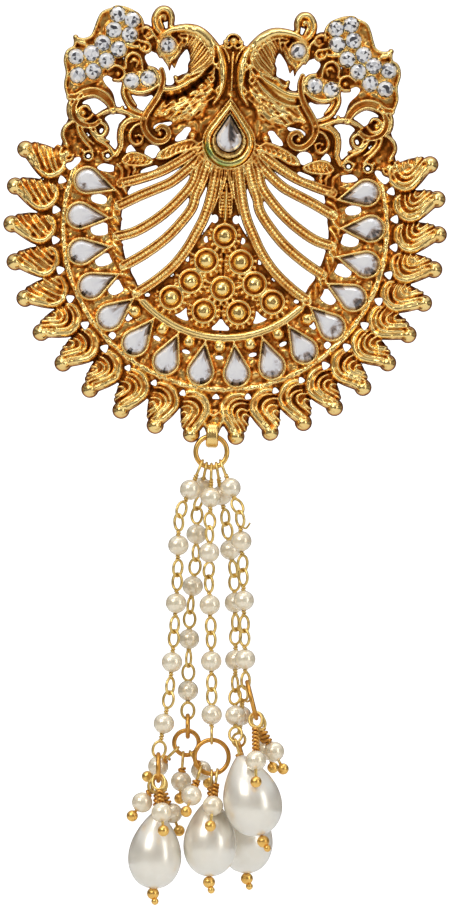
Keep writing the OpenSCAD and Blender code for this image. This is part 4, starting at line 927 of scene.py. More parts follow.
def centre_setting():
    """The drop-shaped setting: an outer line, a glazed moulding and a sloping collar round the stone."""
    w, uu, vv = window([(-4.4, 8.4), (4.4, 20.4)], 0.5)
    mid_v, collar_v = 12.75, 12.95
    outer = up_drop(mid_v, 4.05, 19.7, uu, vv)
    lay(w, outer, np.full(outer.shape, 1.6))
    H[w] = np.where(outer > 0.1, 1.55, H[w])
    SHADE[w] = np.where(outer > 0, 0, SHADE[w])
    line = np.abs(up_drop(mid_v, 3.9, 19.45, uu, vv)) / 0.17
    line_h = 1.4 + 1.1 * np.sqrt(np.clip(1 - line ** 2, 0, 1))
    H[w] = np.where(line < 1, np.maximum(H[w], line_h), H[w])
    # a broad rounded moulding, glazed green below and to the left
    slope = up_drop(mid_v, 3.68, 19.1, uu, vv)
    inner = up_drop(collar_v, 2.62, 17.6, uu, vv)
    channel = (slope > 0) & (inner < 0)
    share = np.clip(slope / np.maximum(slope - inner, 1e-6), 0, 1)
    H[w] = np.where(channel, 1.75 + 0.75 * np.sqrt(np.clip(1 - (2 * share - 1) ** 2, 0, 1)), H[w])
    way = np.degrees(np.arctan2(vv - mid_v, uu))
    green = np.exp(-((way + 158) / 24) ** 2) + 0.9 * np.exp(-((way + 100) / 22) ** 2)
    green = green + 0.5 * np.exp(-((way + 60) / 16) ** 2)
    green = green * (0.35 + 0.65 * np.clip(1.25 - share * 1.1, 0, 1)) * (0.6 + 0.7 * grain(uu, vv, 0.7, 91))
    GREEN[w] = np.where(channel & (slope > 0.06), np.clip(green, 0, 0.8), 0)
    # the inner bezel: a wide sloping collar that ends in a sharp edge
    collar_in = up_drop(collar_v, 2.55, 17.45, uu, vv)
    stone_in = up_drop(CENTRE_STONE_V, 1.92, 17.0, uu, vv)
    wall = (collar_in > 0) & (stone_in < 0)
    share = np.clip(collar_in / np.maximum(collar_in - stone_in, 1e-6), 0, 1)
    H[w] = np.where(wall, 2.75 - 0.5 * share + 0.15 * np.sin(share * math.pi * 2), H[w])
    H[w] = np.where(stone_in > 0, 1.45, H[w])
    # painted shade in the crease between the moulding and the collar, and along the collar's edge by the
    # stone; the rest of the collar is kept almost bare
    SHADE[w] = np.where(np.abs(inner) < 0.11, 0.55, SHADE[w])
    SHADE[w] = np.where(wall & (share > 0.85), 0.7, SHADE[w])
    SHADE[w] = np.where(wall & (share <= 0.85), 0.04, SHADE[w])
    GREEN[w] = np.where(inner > 0, 0, GREEN[w])


def chaton_seats():
    """A thin ring round each small stone, and little prongs between the stones of the clusters."""
    for c in CHATONS:
        for place in pair(*c):
            w, uu, vv = window([place], 1.8)
            d = np.hypot(uu - place[0], vv - place[1])
            if c != EYE_STONE:
                lay(w, 1.38 - d, np.full(d.shape, 1.35))
                half = 0.14
                ringed = np.sqrt(np.clip(1 - ((d - 1.26) / half) ** 2, 0, 1))
                lay(w, half - np.abs(d - 1.26), 1.3 + 0.6 * ringed)
            H[w] = np.where(d < 1.16, 1.2, H[w])
    for c in CHATONS:
        if c == EYE_STONE:
            continue
        for k in range(4):
            a = math.radians(45 + 90 * k + 17 * c[0])
            for place in pair(c[0] + 1.22 * math.cos(a), c[1] + 1.22 * math.sin(a)):
                dome(place, 0.2, 2.35, low=1.5)


BAIL_ROOT = [(-2.3, -27.2), (2.0, -27.2), (1.5, -28.8), (0.7, -30.2), (0.3, -30.9), (-1.3, -30.9),
             (-1.7, -30.2), (-2.3, -28.8)]
BAIL_LINES = [
    [(-1.9, -28.0), (-1.75, -29.2), (-1.2, -30.4)], [(0.95, -28.0), (0.75, -29.2), (0.2, -30.4)],
    [(-1.3, -27.6), (-0.5, -28.2), (0.4, -27.6)],
]


def bail_root():
    """The tongue that carries the bail."""
    area(BAIL_ROOT, 1.6, n=3, edge=0.3, rough=0.35, size=0.5)
    for pts in BAIL_LINES:
        stroke(pts, 0.32, 2.2, low=1.3, ends=(0.7, 0.7))


rim_ground()
fringe()
fringe_roots()
granular_band()
inner_ring()
rim_bezels()
rays()
studs()
crown_ground()
for m in ((1.0, 1.0), (-1.0, 1.0)):
    peacock(m)
plumage()
scrolls()
top_leaves()
cluster_rims()
axis_top()
centre_setting()
chaton_seats()
bail_root()


# From the field to meshes


def blur(a, r):
    """A box blur of r cells, twice."""
    for _ in range(2):
        for axis in (0, 1):
            pad = [(0, 0), (0, 0)]
            pad[axis] = (r + 1, r)
            c = np.cumsum(np.pad(a, pad, mode="edge"), axis)
            n = a.shape[axis]
            hi = [slice(None), slice(None)]
            lo = [slice(None), slice(None)]
            hi[axis] = slice(2 * r + 1, 2 * r + 1 + n)
            lo[axis] = slice(0, n)
            a = (c[tuple(hi)] - c[tuple(lo)]) / (2 * r + 1)
    return a


# pools of painted red-brown shade, partly tarnish, where the photograph shows it: middle on the right,
# radius, amount
SHADE_POOLS = [
    ((8.1, 27.4), 1.0, 0.45), ((10.9, 28.6), 0.8, 0.35), ((3.9, 17.0), 1.2, 0.3), ((3.2, 18.6), 0.8, 0.35),
    ((15.2, 7.8), 1.3, 0.6), ((16.0, 4.4), 0.9, 0.45), ((15.9, -0.6), 0.8, 0.45), ((15.4, -5.2), 0.8, 0.4),
    ((14.2, -8.6), 0.8, 0.35), ((1.1, 8.2), 0.9, 0.4), ((4.3, 10.6), 0.9, 0.3), ((12.9, 15.2), 0.9, 0.3),
    ((20.6, 15.6), 1.0, 0.3), ((23.4, 12.4), 1.2, 0.35), ((13.6, 12.2), 0.9, 0.4), ((17.6, 22.4), 0.8, 0.3),
    ((14.8, 24.4), 0.8, 0.35), ((13.4, 28.6), 0.8, 0.35), ((5.6, 12.4), 0.8, 0.25), ((9.9, 13.7), 0.7, 0.3),
]
for c, r, amount in SHADE_POOLS:
    for u, v in pair(*c):
        w, uu, vv = window([(u, v)], 2.5 * r)
        pool = amount * np.exp(-((uu - u) ** 2 + (vv - v) ** 2) / (r * r))
        SHADE[w] += pool * (0.5 + grain(uu, vv, 0.7, 95))
# painted shade, partly tarnish, among the fringe's roots, in random patches
among_roots = np.exp(-((RADIUS - 26.0) / 0.9) ** 2) * (ABS_ANGLE < RIM_END)
SHADE += 0.45 * among_roots * np.clip(grain(U, V, 1.5, 96) * 1.5 - 0.45, 0, 1)
metal = (S > 0).astype(float)


def mean_height(r):
    """The metal's mean height within r cells of each place."""
    return blur(H * metal, r) / np.maximum(blur(metal, r), 1e-6)


# a soft cast surface: a light blur that stays inside the metal, and a fine unevenness
H = np.where(metal > 0, 0.62 * H + 0.38 * mean_height(1), H)
H = H + np.where(metal > 0, 0.05 * (grain(U, V, 0.3, 61) - 0.5) + 0.05 * (grain(U, V, 0.9, 62) - 0.5), 0)
# painted shade, partly tarnish, lies in what is below its surroundings and on the low ground, and tarnish
# lies in specks
sunk = np.clip((mean_height(5) - H) / 0.5, 0, 1) * 0.5 + np.clip((mean_height(2) - H) / 0.2, 0, 1) * 0.45
low_ground = np.clip((1.6 - H) / 0.4, 0, 1) * (0.1 + 0.42 * grain(U, V, 1.1, 72))
speckle = np.clip(grain(U, V, 0.34, 73) - 0.68, 0, 1) * 1.6 * np.clip((2.3 - H) / 0.8, 0, 1)
cloudy = 0.3 * (grain(U, V, 1.3, 71) - 0.5)
# this dark field carries tarnish and painted shade together
PATINA_AND_SHADE = np.clip(sunk + low_ground + SHADE + speckle + cloudy, 0, 1) * metal

CORNERS = [(0, 0), (0, 1), (1, 1), (1, 0)]


def relief_mesh(keep, field_s, height, step, us, vs, front=True, extra=()):
    """Marching squares over the kept cells: vertices (u, v, w), faces, normals and the extra fields."""
    inside = field_s > 0
    nv, nu = field_s.shape
    gy, gx = np.gradient(height, step)
    c = [inside[a:nv - 1 + a, b:nu - 1 + b] for a, b in CORNERS]
    code = sum(c[k].astype(int) << k for k in range(4))
    code = np.where(keep, code, 0)
    verts, norms, values = [], [], [[] for _ in extra]

    def normal(slope_u, slope_v):
        n = np.stack([-slope_u, -slope_v, np.ones_like(slope_u)], -1)
        return n / np.linalg.norm(n, axis=1, keepdims=True)

    # grid points that are used
    used = np.zeros(field_s.shape, bool)
    for k, (a, b) in enumerate(CORNERS):
        used[a:nv - 1 + a, b:nu - 1 + b] |= (code > 0) & c[k]
    jj, ii = np.nonzero(used)
    point_id = np.full(field_s.shape, -1)
    point_id[jj, ii] = np.arange(len(jj))
    verts.append(np.stack([us[ii], vs[jj], height[jj, ii]], -1))
    norms.append(normal(gx[jj, ii], gy[jj, ii]))
    for e, x in enumerate(extra):
        values[e].append(x[jj, ii])
    count = len(jj)
    # crossings on the grid's lines, first those along u and then those along v
    cross_id = []
    for dj, di in ((0, 1), (1, 0)):
        a_s, b_s = field_s[:nv - dj, :nu - di], field_s[dj:, di:]
        mixed = (a_s > 0) != (b_s > 0)
        need = np.zeros(mixed.shape, bool)
        need[:nv - 1, :nu - 1] |= code > 0
        need[di:, dj:] |= code > 0
        j, i = np.nonzero(mixed & need)
        sa, sb = a_s[j, i], b_s[j, i]
        t = np.clip(sa / (sa - sb), 0.04, 0.96)

        def mix(x):
            return x[j, i] * (1 - t) + x[j + dj, i + di] * t

        top = np.where(sa > 0, height[j, i], height[j + dj, i + di]) * 0.55 + mix(height) * 0.45
        verts.append(np.stack([us[i] + di * t * step, vs[j] + dj * t * step, top], -1))
        norms.append(normal(mix(gx), mix(gy)))
        for e, x in enumerate(extra):
            values[e].append(np.where(sa > 0, x[j, i], x[j + dj, i + di]))
        ids = np.full(mixed.shape, -1)
        ids[j, i] = count + np.arange(len(j))
        cross_id.append(ids)
        count += len(j)

    def corner(k, j, i):
        a, b = CORNERS[k]
        return point_id[j + a, i + b]

    def crossing(k, j, i):
        """The crossing between corner k and the next one."""
        dj, di = ((0, 0), (0, 1), (1, 0), (0, 0))[k]
        return cross_id[k % 2][j + dj, i + di]

    faces = []
    rims = []
    j, i = np.nonzero(code == 15)
    faces.append(np.stack([corner(k, j, i) for k in range(4)], -1))
    for case in range(1, 15):
        j, i = np.nonzero(code == case)
        if not len(j):
            continue
        walk = []
        for k in range(4):
            here, there = (case >> k) & 1, (case >> ((k + 1) % 4)) & 1
            if here:
                walk.append(("in", corner(k, j, i)))
            if here != there:
                walk.append(("exit" if here else "entry", crossing(k, j, i)))
        ids = [x[1] for x in walk]
        faces.append(np.stack(ids, -1))
        for n, (kind, x) in enumerate(walk):
            if kind == "exit":
                nxt = walk[(n + 1) % len(walk)]
                rims.append(np.stack([x, nxt[1]], -1))
    v3 = np.vstack(verts)
    n3 = np.vstack(norms)
    values = [np.concatenate(x) for x in values]
    if not front:
        # the back faces the other way and has no walls of its own
        return v3, [f[:, ::-1] for f in faces], n3 * [1, 1, -1], values
    rim = np.vstack(rims)
    ids, inverse = np.unique(rim, return_inverse=True)
    inverse = inverse.reshape(rim.shape)
    top = v3[ids]
    gsy, gsx = np.gradient(field_s, step)
    gi = np.clip(np.rint((top[:, 0] - us[0]) / step).astype(int), 0, nu - 1)
    gj = np.clip(np.rint((top[:, 1] - vs[0]) / step).astype(int), 0, nv - 1)
    out = -np.stack([gsx[gj, gi], gsy[gj, gi], np.zeros(len(ids))], -1)
    out /= np.maximum(np.linalg.norm(out, axis=1, keepdims=True), 1e-6)
    base = len(v3)
    m = len(ids)
    low = top.copy()
    low[:, 2] = 0.0
    v3 = np.vstack([v3, top, low])
    n3 = np.vstack([n3, out, out])
    # the first field, tarnish with painted shade, is darker on the walls and most towards the back; the
    # others are bare on the walls
    patina_and_shade, *others = values
    values = [np.concatenate([patina_and_shade, np.maximum(patina_and_shade[ids], 0.25), np.maximum(patina_and_shade[ids], 0.45)])]
    values += [np.concatenate([x, x[ids] * 0, x[ids] * 0]) for x in others]
    faces.append(np.stack([base + inverse[:, 1], base + inverse[:, 0], base + m + inverse[:, 0],
                           base + m + inverse[:, 1]], -1))
    return v3, faces, n3, values


def add_object(name, verts, faces, materials, normals=None, face_material=None, attributes=None, flat=False):
    """A mesh object from vertices in metres and lists of face arrays."""
    mesh = bpy.data.meshes.new(name)
    loops = np.concatenate([f.ravel() for f in faces])
    sizes = np.concatenate([np.full(len(f), f.shape[1]) for f in faces])
    starts = np.concatenate([[0], np.cumsum(sizes)[:-1]])
    mesh.vertices.add(len(verts))
    mesh.vertices.foreach_set("co", np.asarray(verts, np.float32).ravel())
    mesh.loops.add(len(loops))
    mesh.loops.foreach_set("vertex_index", loops.astype(np.int32))
    mesh.polygons.add(len(sizes))
    mesh.polygons.foreach_set("loop_start", starts.astype(np.int32))
    mesh.polygons.foreach_set("loop_total", sizes.astype(np.int32))
    mesh.polygons.foreach_set("use_smooth", np.full(len(sizes), not flat))
    for m in materials:
        mesh.materials.append(m)
    if face_material is not None:
        mesh.polygons.foreach_set("material_index", np.asarray(face_material, np.int32))
    mesh.update(calc_edges=True)
    mesh.validate()
    for key, x in (attributes or {}).items():
        layer = mesh.attributes.new(key, "FLOAT", "POINT")
        layer.data.foreach_set("value", np.asarray(x, np.float32))
    if normals is not None:
        mesh.normals_split_custom_set_from_vertices(np.asarray(normals, float))
    obj = bpy.data.objects.new(name, mesh)
    bpy.context.scene.collection.objects.link(obj)
    return obj


# Materials


def new_material(name):
    """A material with one principled shader: itself, its nodes, its links and the shader."""
    m = bpy.data.materials.new(name)
    m.use_nodes = True
    m.node_tree.nodes.clear()
    n = m.node_tree.nodes
    out = n.new("ShaderNodeOutputMaterial")
    bsdf = n.new("ShaderNodeBsdfPrincipled")
    m.node_tree.links.new(bsdf.outputs[0], out.inputs[0])
    return m, n, m.node_tree.links, bsdf


def ramp(nodes, stops):
    """A colour ramp with the given stops."""
    r = nodes.new("ShaderNodeValToRGB")
    while len(r.color_ramp.elements) < len(stops):
        r.color_ramp.elements.new(0.5)
    for e, (at, colour) in zip(r.color_ramp.elements, stops):
        e.position = at
        e.color = (*colour, 1)
    return r


def attribute(nodes, name):
    """The value that a mesh carries under the name."""
    a = nodes.new("ShaderNodeAttribute")
    a.attribute_name = name
    return a.outputs["Fac"]


def shift(nodes, links, value, factor, offset):
    """The value times the factor, plus the offset, which is a number or another socket."""
    t = nodes.new("ShaderNodeMath")
    t.operation = "MULTIPLY_ADD"
    links.new(value, t.inputs[0])
    t.inputs[1].default_value = factor
    if isinstance(offset, float):
        t.inputs[2].default_value = offset
    else:
        links.new(offset, t.inputs[2])
    return t.outputs[0]


def bump(nodes, links, bsdf, height, strength, distance):
    """Fine unevenness in the shading; the distance is in metres."""
    b = nodes.new("ShaderNodeBump")
    b.inputs["Strength"].default_value = strength
    b.inputs["Distance"].default_value = distance
    links.new(height, b.inputs["Height"])
    links.new(b.outputs[0], bsdf.inputs["Normal"])


def noise(nodes, links, coords, scale, detail):
    """Noise in the object's own coordinates."""
    t = nodes.new("ShaderNodeTexNoise")
    t.inputs["Scale"].default_value = scale
    t.inputs["Detail"].default_value = detail
    t.inputs["Roughness"].default_value = 0.6
    links.new(coords, t.inputs["Vector"])
    return t.outputs["Fac"]


def gold(name, bright, mid, rough=0.24, patina_and_shade=False, grain_scale=1500, grain_strength=0.1):
    """Gilt metal: bright where it is rubbed, browner in its hollows from tarnish and painted shade, with a
    fine cast grain.
    """
    m, n, l, b = new_material(name)
    coords = n.new("ShaderNodeTexCoord").outputs["Object"]
    mottle = noise(n, l, coords, scale=420, detail=4)
    fine = noise(n, l, coords, scale=grain_scale, detail=3)
    if patina_and_shade:
        # the attribute darkens the colour with tarnish and painted shade
        fac = shift(n, l, shift(n, l, mottle, 0.34, attribute(n, "patina_and_shade")), 1.0, -0.17)
        tone = ramp(n, [(0.0, bright), (0.34, mid), (0.68, BROWN), (1.0, tuple(c * 0.28 for c in BROWN))])
    else:
        fac = mottle
        tone = ramp(n, [(0.3, bright), (0.7, mid)])
    l.new(fac, tone.inputs[0])
    l.new(tone.outputs[0], b.inputs["Base Color"])
    b.inputs["Metallic"].default_value = 1.0
    r = ramp(n, [(0.0, (rough,) * 3), (0.5, (rough + 0.12,) * 3), (1.0, (0.62,) * 3)])
    l.new(fac, r.inputs[0])
    l.new(r.outputs[0], b.inputs["Roughness"])
    bump(n, l, b, fine, strength=grain_strength, distance=0.00009)
    return m


BROWN = (0.55, 0.17, 0.022)
cast_gold = gold("antique_gold", (1.0, 0.74, 0.29), (0.88, 0.50, 0.13), patina_and_shade=True, grain_strength=0.16)


def glazed_gold():
    """The plate's gold, with the green glaze in the channel of its centre setting."""
    m = cast_gold.copy()
    m.name = "antique_gold_glazed"
    n, l = m.node_tree.nodes, m.node_tree.links
    colour_in = [x for x in n if x.type == "BSDF_PRINCIPLED"][0].inputs["Base Color"]
    old = colour_in.links[0].from_socket
    mixer = n.new("ShaderNodeMix")
    mixer.data_type = "RGBA"
    l.new(attribute(n, "glaze"), mixer.inputs["Factor"])
    l.new(old, mixer.inputs["A"])
    mixer.inputs["B"].default_value = (0.16, 0.42, 0.12, 1)
    l.new(mixer.outputs["Result"], colour_in)
    return m


panel_gold = glazed_gold()
wire_gold = gold("wire_gold", (1.0, 0.75, 0.29), (0.70, 0.47, 0.13), rough=0.26)
ring_gold = gold("ring_gold", (0.88, 0.47, 0.11), (0.58, 0.26, 0.045), grain_scale=1200, grain_strength=0.08)
ball_gold = gold("ball_gold", (1.0, 0.66, 0.20), (0.86, 0.46, 0.10), rough=0.2)


def pearl_material(name, body, warm, rough, scatter, lustre):
    """Nacre: two soft tones, a little light in its depth and a clear coat; scatter is in metres."""
    m, n, l, b = new_material(name)
    coords = n.new("ShaderNodeTexCoord").outputs["Object"]
    cloud = noise(n, l, coords, scale=260, detail=3)
    tone = ramp(n, [(0.25, body), (0.8, warm)])
    l.new(cloud, tone.inputs[0])
    l.new(tone.outputs[0], b.inputs["Base Color"])
    b.inputs["Roughness"].default_value = rough
    b.inputs["Metallic"].default_value = lustre
    b.inputs["Subsurface Weight"].default_value = 0.25
    b.inputs["Subsurface Radius"].default_value = (1.0, 0.85, 0.7)
    b.inputs["Subsurface Scale"].default_value = scatter
    b.inputs["Coat Weight"].default_value = 0.8
    b.inputs["Coat Roughness"].default_value = 0.12
    b.inputs["Specular IOR Level"].default_value = 0.6
    bump(n, l, b, noise(n, l, coords, 1800, 2), strength=0.06, distance=0.00006)
    return m


small_pearl = pearl_material("small_pearl", (0.97, 0.88, 0.71), (0.89, 0.75, 0.53),
                             rough=0.26, scatter=0.0012, lustre=0.34)
drop_pearl = pearl_material("drop_pearl", (0.93, 0.89, 0.80), (0.84, 0.79, 0.68),
                            rough=0.30, scatter=0.0025, lustre=0.38)


def stone_material(name, light, mid, deep):
    """Foil-backed clear stone: the tone attribute paints into each facet's colour the reflection that it
    mirrors.
    """
    m, n, l, b = new_material(name)
    cloud = noise(n, l, n.new("ShaderNodeTexCoord").outputs["Object"], scale=900, detail=2)
    tone = ramp(n, [(0.08, deep), (0.3, mid), (0.62, light), (1.0, (0.95, 0.95, 0.97))])
    l.new(shift(n, l, cloud, 0.22, attribute(n, "tone")), tone.inputs[0])
    l.new(tone.outputs[0], b.inputs["Base Color"])
    b.inputs["Metallic"].default_value = 0.15
    b.inputs["Roughness"].default_value = 0.14
    b.inputs["Coat Weight"].default_value = 1.0
    b.inputs["Coat Roughness"].default_value = 0.02
    b.inputs["IOR"].default_value = 1.6
    return m


rim_stone_mat = stone_material("clear_stone", (0.84, 0.84, 0.89), (0.38, 0.30, 0.27), (0.02, 0.02, 0.025))
chaton_mat = stone_material("brilliant_stone", (0.84, 0.86, 0.90), (0.24, 0.24, 0.28), (0.02, 0.02, 0.03))

# The plate's pieces
cell_u = US[:-1] + STEP / 2
cell_v = VS[:-1] + STEP / 2
CU, CV = np.meshgrid(cell_u, cell_v)
cell_r = np.hypot(CU, CV)
crown = (CV > 8.7) & ~((cell_r < 16.9) & (CV < 12.0) & (np.abs(CU) < 5.0))
panel = (cell_r < 17.15) & ~crown
regions = {
    "plate_crown_left": crown & (CU < 0),
    "plate_crown_right": crown & (CU >= 0),
    "plate_panel": panel,
    "plate_rim_left": ~crown & ~panel & (CU < 0),
    "plate_rim_right": ~crown & ~panel & (CU >= 0),
}
for name, keep in regions.items():
    v3, faces, n3, values = relief_mesh(keep, S, H, STEP, US, VS, extra=(PATINA_AND_SHADE, GREEN))
    obj = add_object(name, to_row(v3[:, 0], v3[:, 1], v3[:, 2]), faces, [panel_gold],
                     normals=turn_to_row(n3), attributes={"patina_and_shade": values[0], "glaze": values[1]})
    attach(obj, "root")
    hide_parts("plate")

# the back: hollowed a little behind the high relief
S2, US2, VS2 = S[::2, ::2], US[::2], VS[::2]
hollow = -np.clip(blur(H - 1.3, 4), 0, 1)[::2, ::2] * 0.25
back_height = -hollow + 0.07 * (grain(U, V, 0.6, 81)[::2, ::2] - 0.5)
back_patina = 0.2 * (grain(U, V, 2.6, 82) - 0.5) + 0.25 * (grain(U, V, 0.6, 83) - 0.5)
back_patina = np.clip(0.3 + back_patina[::2, ::2] - hollow, 0, 1)
keep = np.ones((S2.shape[0] - 1, S2.shape[1] - 1), bool)
v3, faces, n3, values = relief_mesh(keep, S2, back_height, STEP * 2, US2, VS2, front=False,
                                    extra=(back_patina, back_patina * 0))
back = add_object("plate_back", to_row(v3[:, 0], v3[:, 1], v3[:, 2]), faces, [panel_gold],
                  normals=turn_to_row(n3), attributes={"patina_and_shade": values[0], "glaze": values[1]})
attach(back, "root")
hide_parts("plate")

# Shapes in space


def tube(path, r, sides=10, closed=False):
    """A tube swept along a path in millimetres."""
    p = np.asarray(path, float)
    n = len(p)
    if closed:
        t = np.roll(p, -1, 0) - np.roll(p, 1, 0)
    else:
        t = np.gradient(p, axis=0)
    t /= np.linalg.norm(t, axis=1, keepdims=True)
    ref = np.array([0.0, 0, 1]) if abs(t[0][2]) < 0.9 else np.array([1.0, 0, 0])
    a = np.cross(t[0], ref)
    a /= np.linalg.norm(a)
    frames = [a]
    for k in range(1, n):
        a = frames[-1] - t[k] * (frames[-1] @ t[k])
        frames.append(a / np.linalg.norm(a))
    if closed:
        # spread the twist that is left over the whole loop
        a = frames[-1] - t[0] * (frames[-1] @ t[0])
        a /= np.linalg.norm(a)
        b0 = np.cross(t[0], frames[0])
        twist = math.atan2(a @ b0, a @ frames[0])
        for k in range(n):
            s = -twist * k / n
            b = np.cross(t[k], frames[k])
            frames[k] = frames[k] * math.cos(s) + b * math.sin(s)
    radii = np.broadcast_to(np.asarray(r, float), (n,))
    th = np.linspace(0, 2 * np.pi, sides, endpoint=False)
    rings = []
    for k in range(n):
        b = np.cross(t[k], frames[k])
        rings.append(p[k] + radii[k] * (np.outer(np.cos(th), frames[k]) + np.outer(np.sin(th), b)))
    v = np.vstack(rings)
    f = []
    for k in range(n if closed else n - 1):
        a0, b0 = k * sides, ((k + 1) % n) * sides
        i = np.arange(sides)
        j = (i + 1) % sides
        f.append(np.stack([a0 + i, a0 + j, b0 + j, b0 + i], -1))
    faces = [np.vstack(f)]
    if not closed:
        i = np.arange(sides)
        j = (i + 1) % sides
        v = np.vstack([v, p[:1], p[-1:]])
        c0, c1 = len(v) - 2, len(v) - 1
        faces.append(np.stack([np.full(sides, c0), j, i], -1))
        faces.append(np.stack([np.full(sides, c1), (n - 1) * sides + i, (n - 1) * sides + j], -1))
    return v, faces


def lathe(profile_points, cols):
    """A round body from (radius, z) points, its first and last lying on the axis."""
    p = np.asarray(profile_points, float)
    ph = np.linspace(0, 2 * math.pi, cols, endpoint=False)
    v = [[0, 0, p[0][1]]]
    for r, z in p[1:-1]:
        v += [[r * math.cos(q), r * math.sin(q), z] for q in ph]
    v.append([0, 0, p[-1][1]])
    rows = len(p) - 2
    quads, tris = [], []
    for i in range(cols):
        j = (i + 1) % cols
        tris.append([0, 1 + i, 1 + j])
        for k in range(rows - 1):
            a = 1 + k * cols
            quads.append([a + i, a + cols + i, a + cols + j, a + j])
        a = 1 + (rows - 1) * cols
        tris.append([a + j, a + i, len(v) - 1])
    return np.array(v), [np.array(quads), np.array(tris)]


def ball(c, r, rows, cols, squash=1.0):
    """A ball, pressed a little flat along z."""
    arc = [(r * math.sin(a), r * squash * math.cos(a)) for a in np.linspace(0, math.pi, rows + 1)]
    v, faces = lathe(arc, cols)
    return v + np.asarray(c, float), faces


class Group:
    """Parts that are joined into one mesh object."""

    def __init__(self):
        self.v, self.f, self.m, self.count = [], [], [], 0

    def add(self, part, material=0, move=None):
        v, faces = part
        if move is not None:
            v = move(v)
        self.v.append(v)
        for f in faces:
            self.f.append(f + self.count)
            self.m.append(np.full(len(f), material))
        self.count += len(v)

    def build(self, name, materials, nodes, patina_and_shade=None):
        verts = np.vstack(self.v) * MM
        fields = {} if patina_and_shade is None else {"patina_and_shade": np.full(len(verts), patina_and_shade)}
        obj = add_object(name, verts, self.f, materials, face_material=np.concatenate(self.m),
                         attributes=fields)
        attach(obj, "root")
        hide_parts(*nodes)


def hang(p, q):
    """Moves local points, -z pointing from p to q, to where they hang."""
    p, q = np.asarray(p, float), np.asarray(q, float)
    d = (q - p) / np.linalg.norm(q - p)
    a, b = math.asin(d[1]), math.atan2(-d[0], -d[2])
    rx = np.array([[1, 0, 0], [0, math.cos(a), -math.sin(a)], [0, math.sin(a), math.cos(a)]])
    ry = np.array([[math.cos(b), 0, math.sin(b)], [0, 1, 0], [-math.sin(b), 0, math.cos(b)]])
    m = ry @ rx
    return lambda v: v @ m.T + p


def wire_ring(c, r, wire, turn, n, sides, tall=1.0):
    """A ring standing upright: turn 0 faces the front, 90 shows its edge."""
    t = np.linspace(0, 2 * math.pi, n, endpoint=False)
    x, z = r * np.sin(t), -r * np.cos(t) * tall
    k = math.radians(turn)
    pts = np.stack([x * math.cos(k), x * math.sin(k), z], -1) + np.asarray(c, float)
    return tube(pts, wire, sides, closed=True)


# The tassel, in row millimetres. The radius of the pins' wire, of the jump rings' wire and of a small pearl
WIRE, JUMP, PEARL = 0.22, 0.34, 1.55
# an eye's radius, and how much taller it is than wide
EYE, TALL = 0.95, 1.3
# the rings' middles, radii and leans in degrees
TOP_RING, TOP_R = np.array([-2.75, -1.5, -49.05]), 2.35
RING_A = np.array([-10.7, -2.4, -96.4])
RING_B, RING_B_R = np.array([-6.3, 0.6, -90.3]), 1.6
RING_B2, RING_B2_R = np.array([-6.5, 0.6, -92.94]), 1.85
RING_C, RING_C_R = np.array([-2.7, -2.4, -94.8]), 2.55
RING_D, RING_D_LEAN = np.array([1.8, 3.95, -94.8]), -15
RING_E, RING_E_R, RING_E_LEAN = np.array([3.31, -3.12, -86.27]), 2.8, -14
SMALL_RING = 2.0


def face_point(c, r, a):
    """The point at angle a from the bottom of a ring that faces the front."""
    a = math.radians(a)
    return c + r * np.array([math.sin(a), 0, -math.cos(a)])


def edge_point(c, r, lean, a):
    """The point at angle a from the bottom of a ring that shows its edge."""
    a, lean = math.radians(a), math.radians(lean)
    return c + r * np.array([-math.cos(a) * math.sin(lean), math.sin(a), -math.cos(a) * math.cos(lean)])


# the six joints of each strand from the top ring down; a small pearl sits midway between two of them
STRANDS = [
    [face_point(TOP_RING, TOP_R, -40), (-7.6, -4.6, -58.6), (-7.8, -2.9, -67.5), (-8.3, -2.5, -76.0),
     (-9.0, -2.4, -85.2), edge_point(RING_A, SMALL_RING, 0, 180)],
    [face_point(TOP_RING, TOP_R, -20), (-4.9, 1.8, -57.6), (-5.1, 1.2, -65.3), (-6.0, 0.8, -73.2),
     (-6.2, 0.7, -81.2), edge_point(RING_B, RING_B_R, 0, 180)],
    [face_point(TOP_RING, TOP_R, 0), (-3.0, -4.4, -60.4), (-3.15, -2.7, -67.8), (-2.8, -2.5, -76.2),
     (-2.7, -2.4, -84.7), face_point(RING_C, RING_C_R, 180)],
    [face_point(TOP_RING, TOP_R, 20), (-0.5, 1.9, -59.9), (0.7, 1.6, -67.7), (0.9, 1.6, -75.8),
     (0.8, -0.7, -84.9), (0.9, -4.6, -92.3)],
    [face_point(TOP_RING, TOP_R, 40), (1.5, -4.6, -58.1), (2.0, -2.8, -66.8), (2.2, -3.0, -75.9),
     (2.4, -2.4, -84.4), edge_point(RING_D, SMALL_RING, RING_D_LEAN, 205)],
]
LAST_TURN = [90, 90, 0, 90, 90]
SWING = [38, 52, 30, 46, 34]
# drop pearls: top and foot of the pin, the pearl's depth below its top, its length, the eye's turn
# and the pearl's radius
DROPS = [
    (edge_point(RING_A, SMALL_RING, 0, 0), (-11.5, -2.1, -115.3), 4.3, 11.9, 90, 4.0),
    (face_point(RING_C, RING_C_R, 0), (-3.1, -2.2, -113.6), 3.4, 12.0, 0, 4.0),
    ((0.9, -4.6, -92.3), (5.0, -5.9, -107.3), 1.95, 12.7, 0, 4.36),
    (edge_point(RING_D, SMALL_RING, RING_D_LEAN, 0), (2.6, 5.4, -113.5), 3.9, 12.1, 90, 4.0),
]
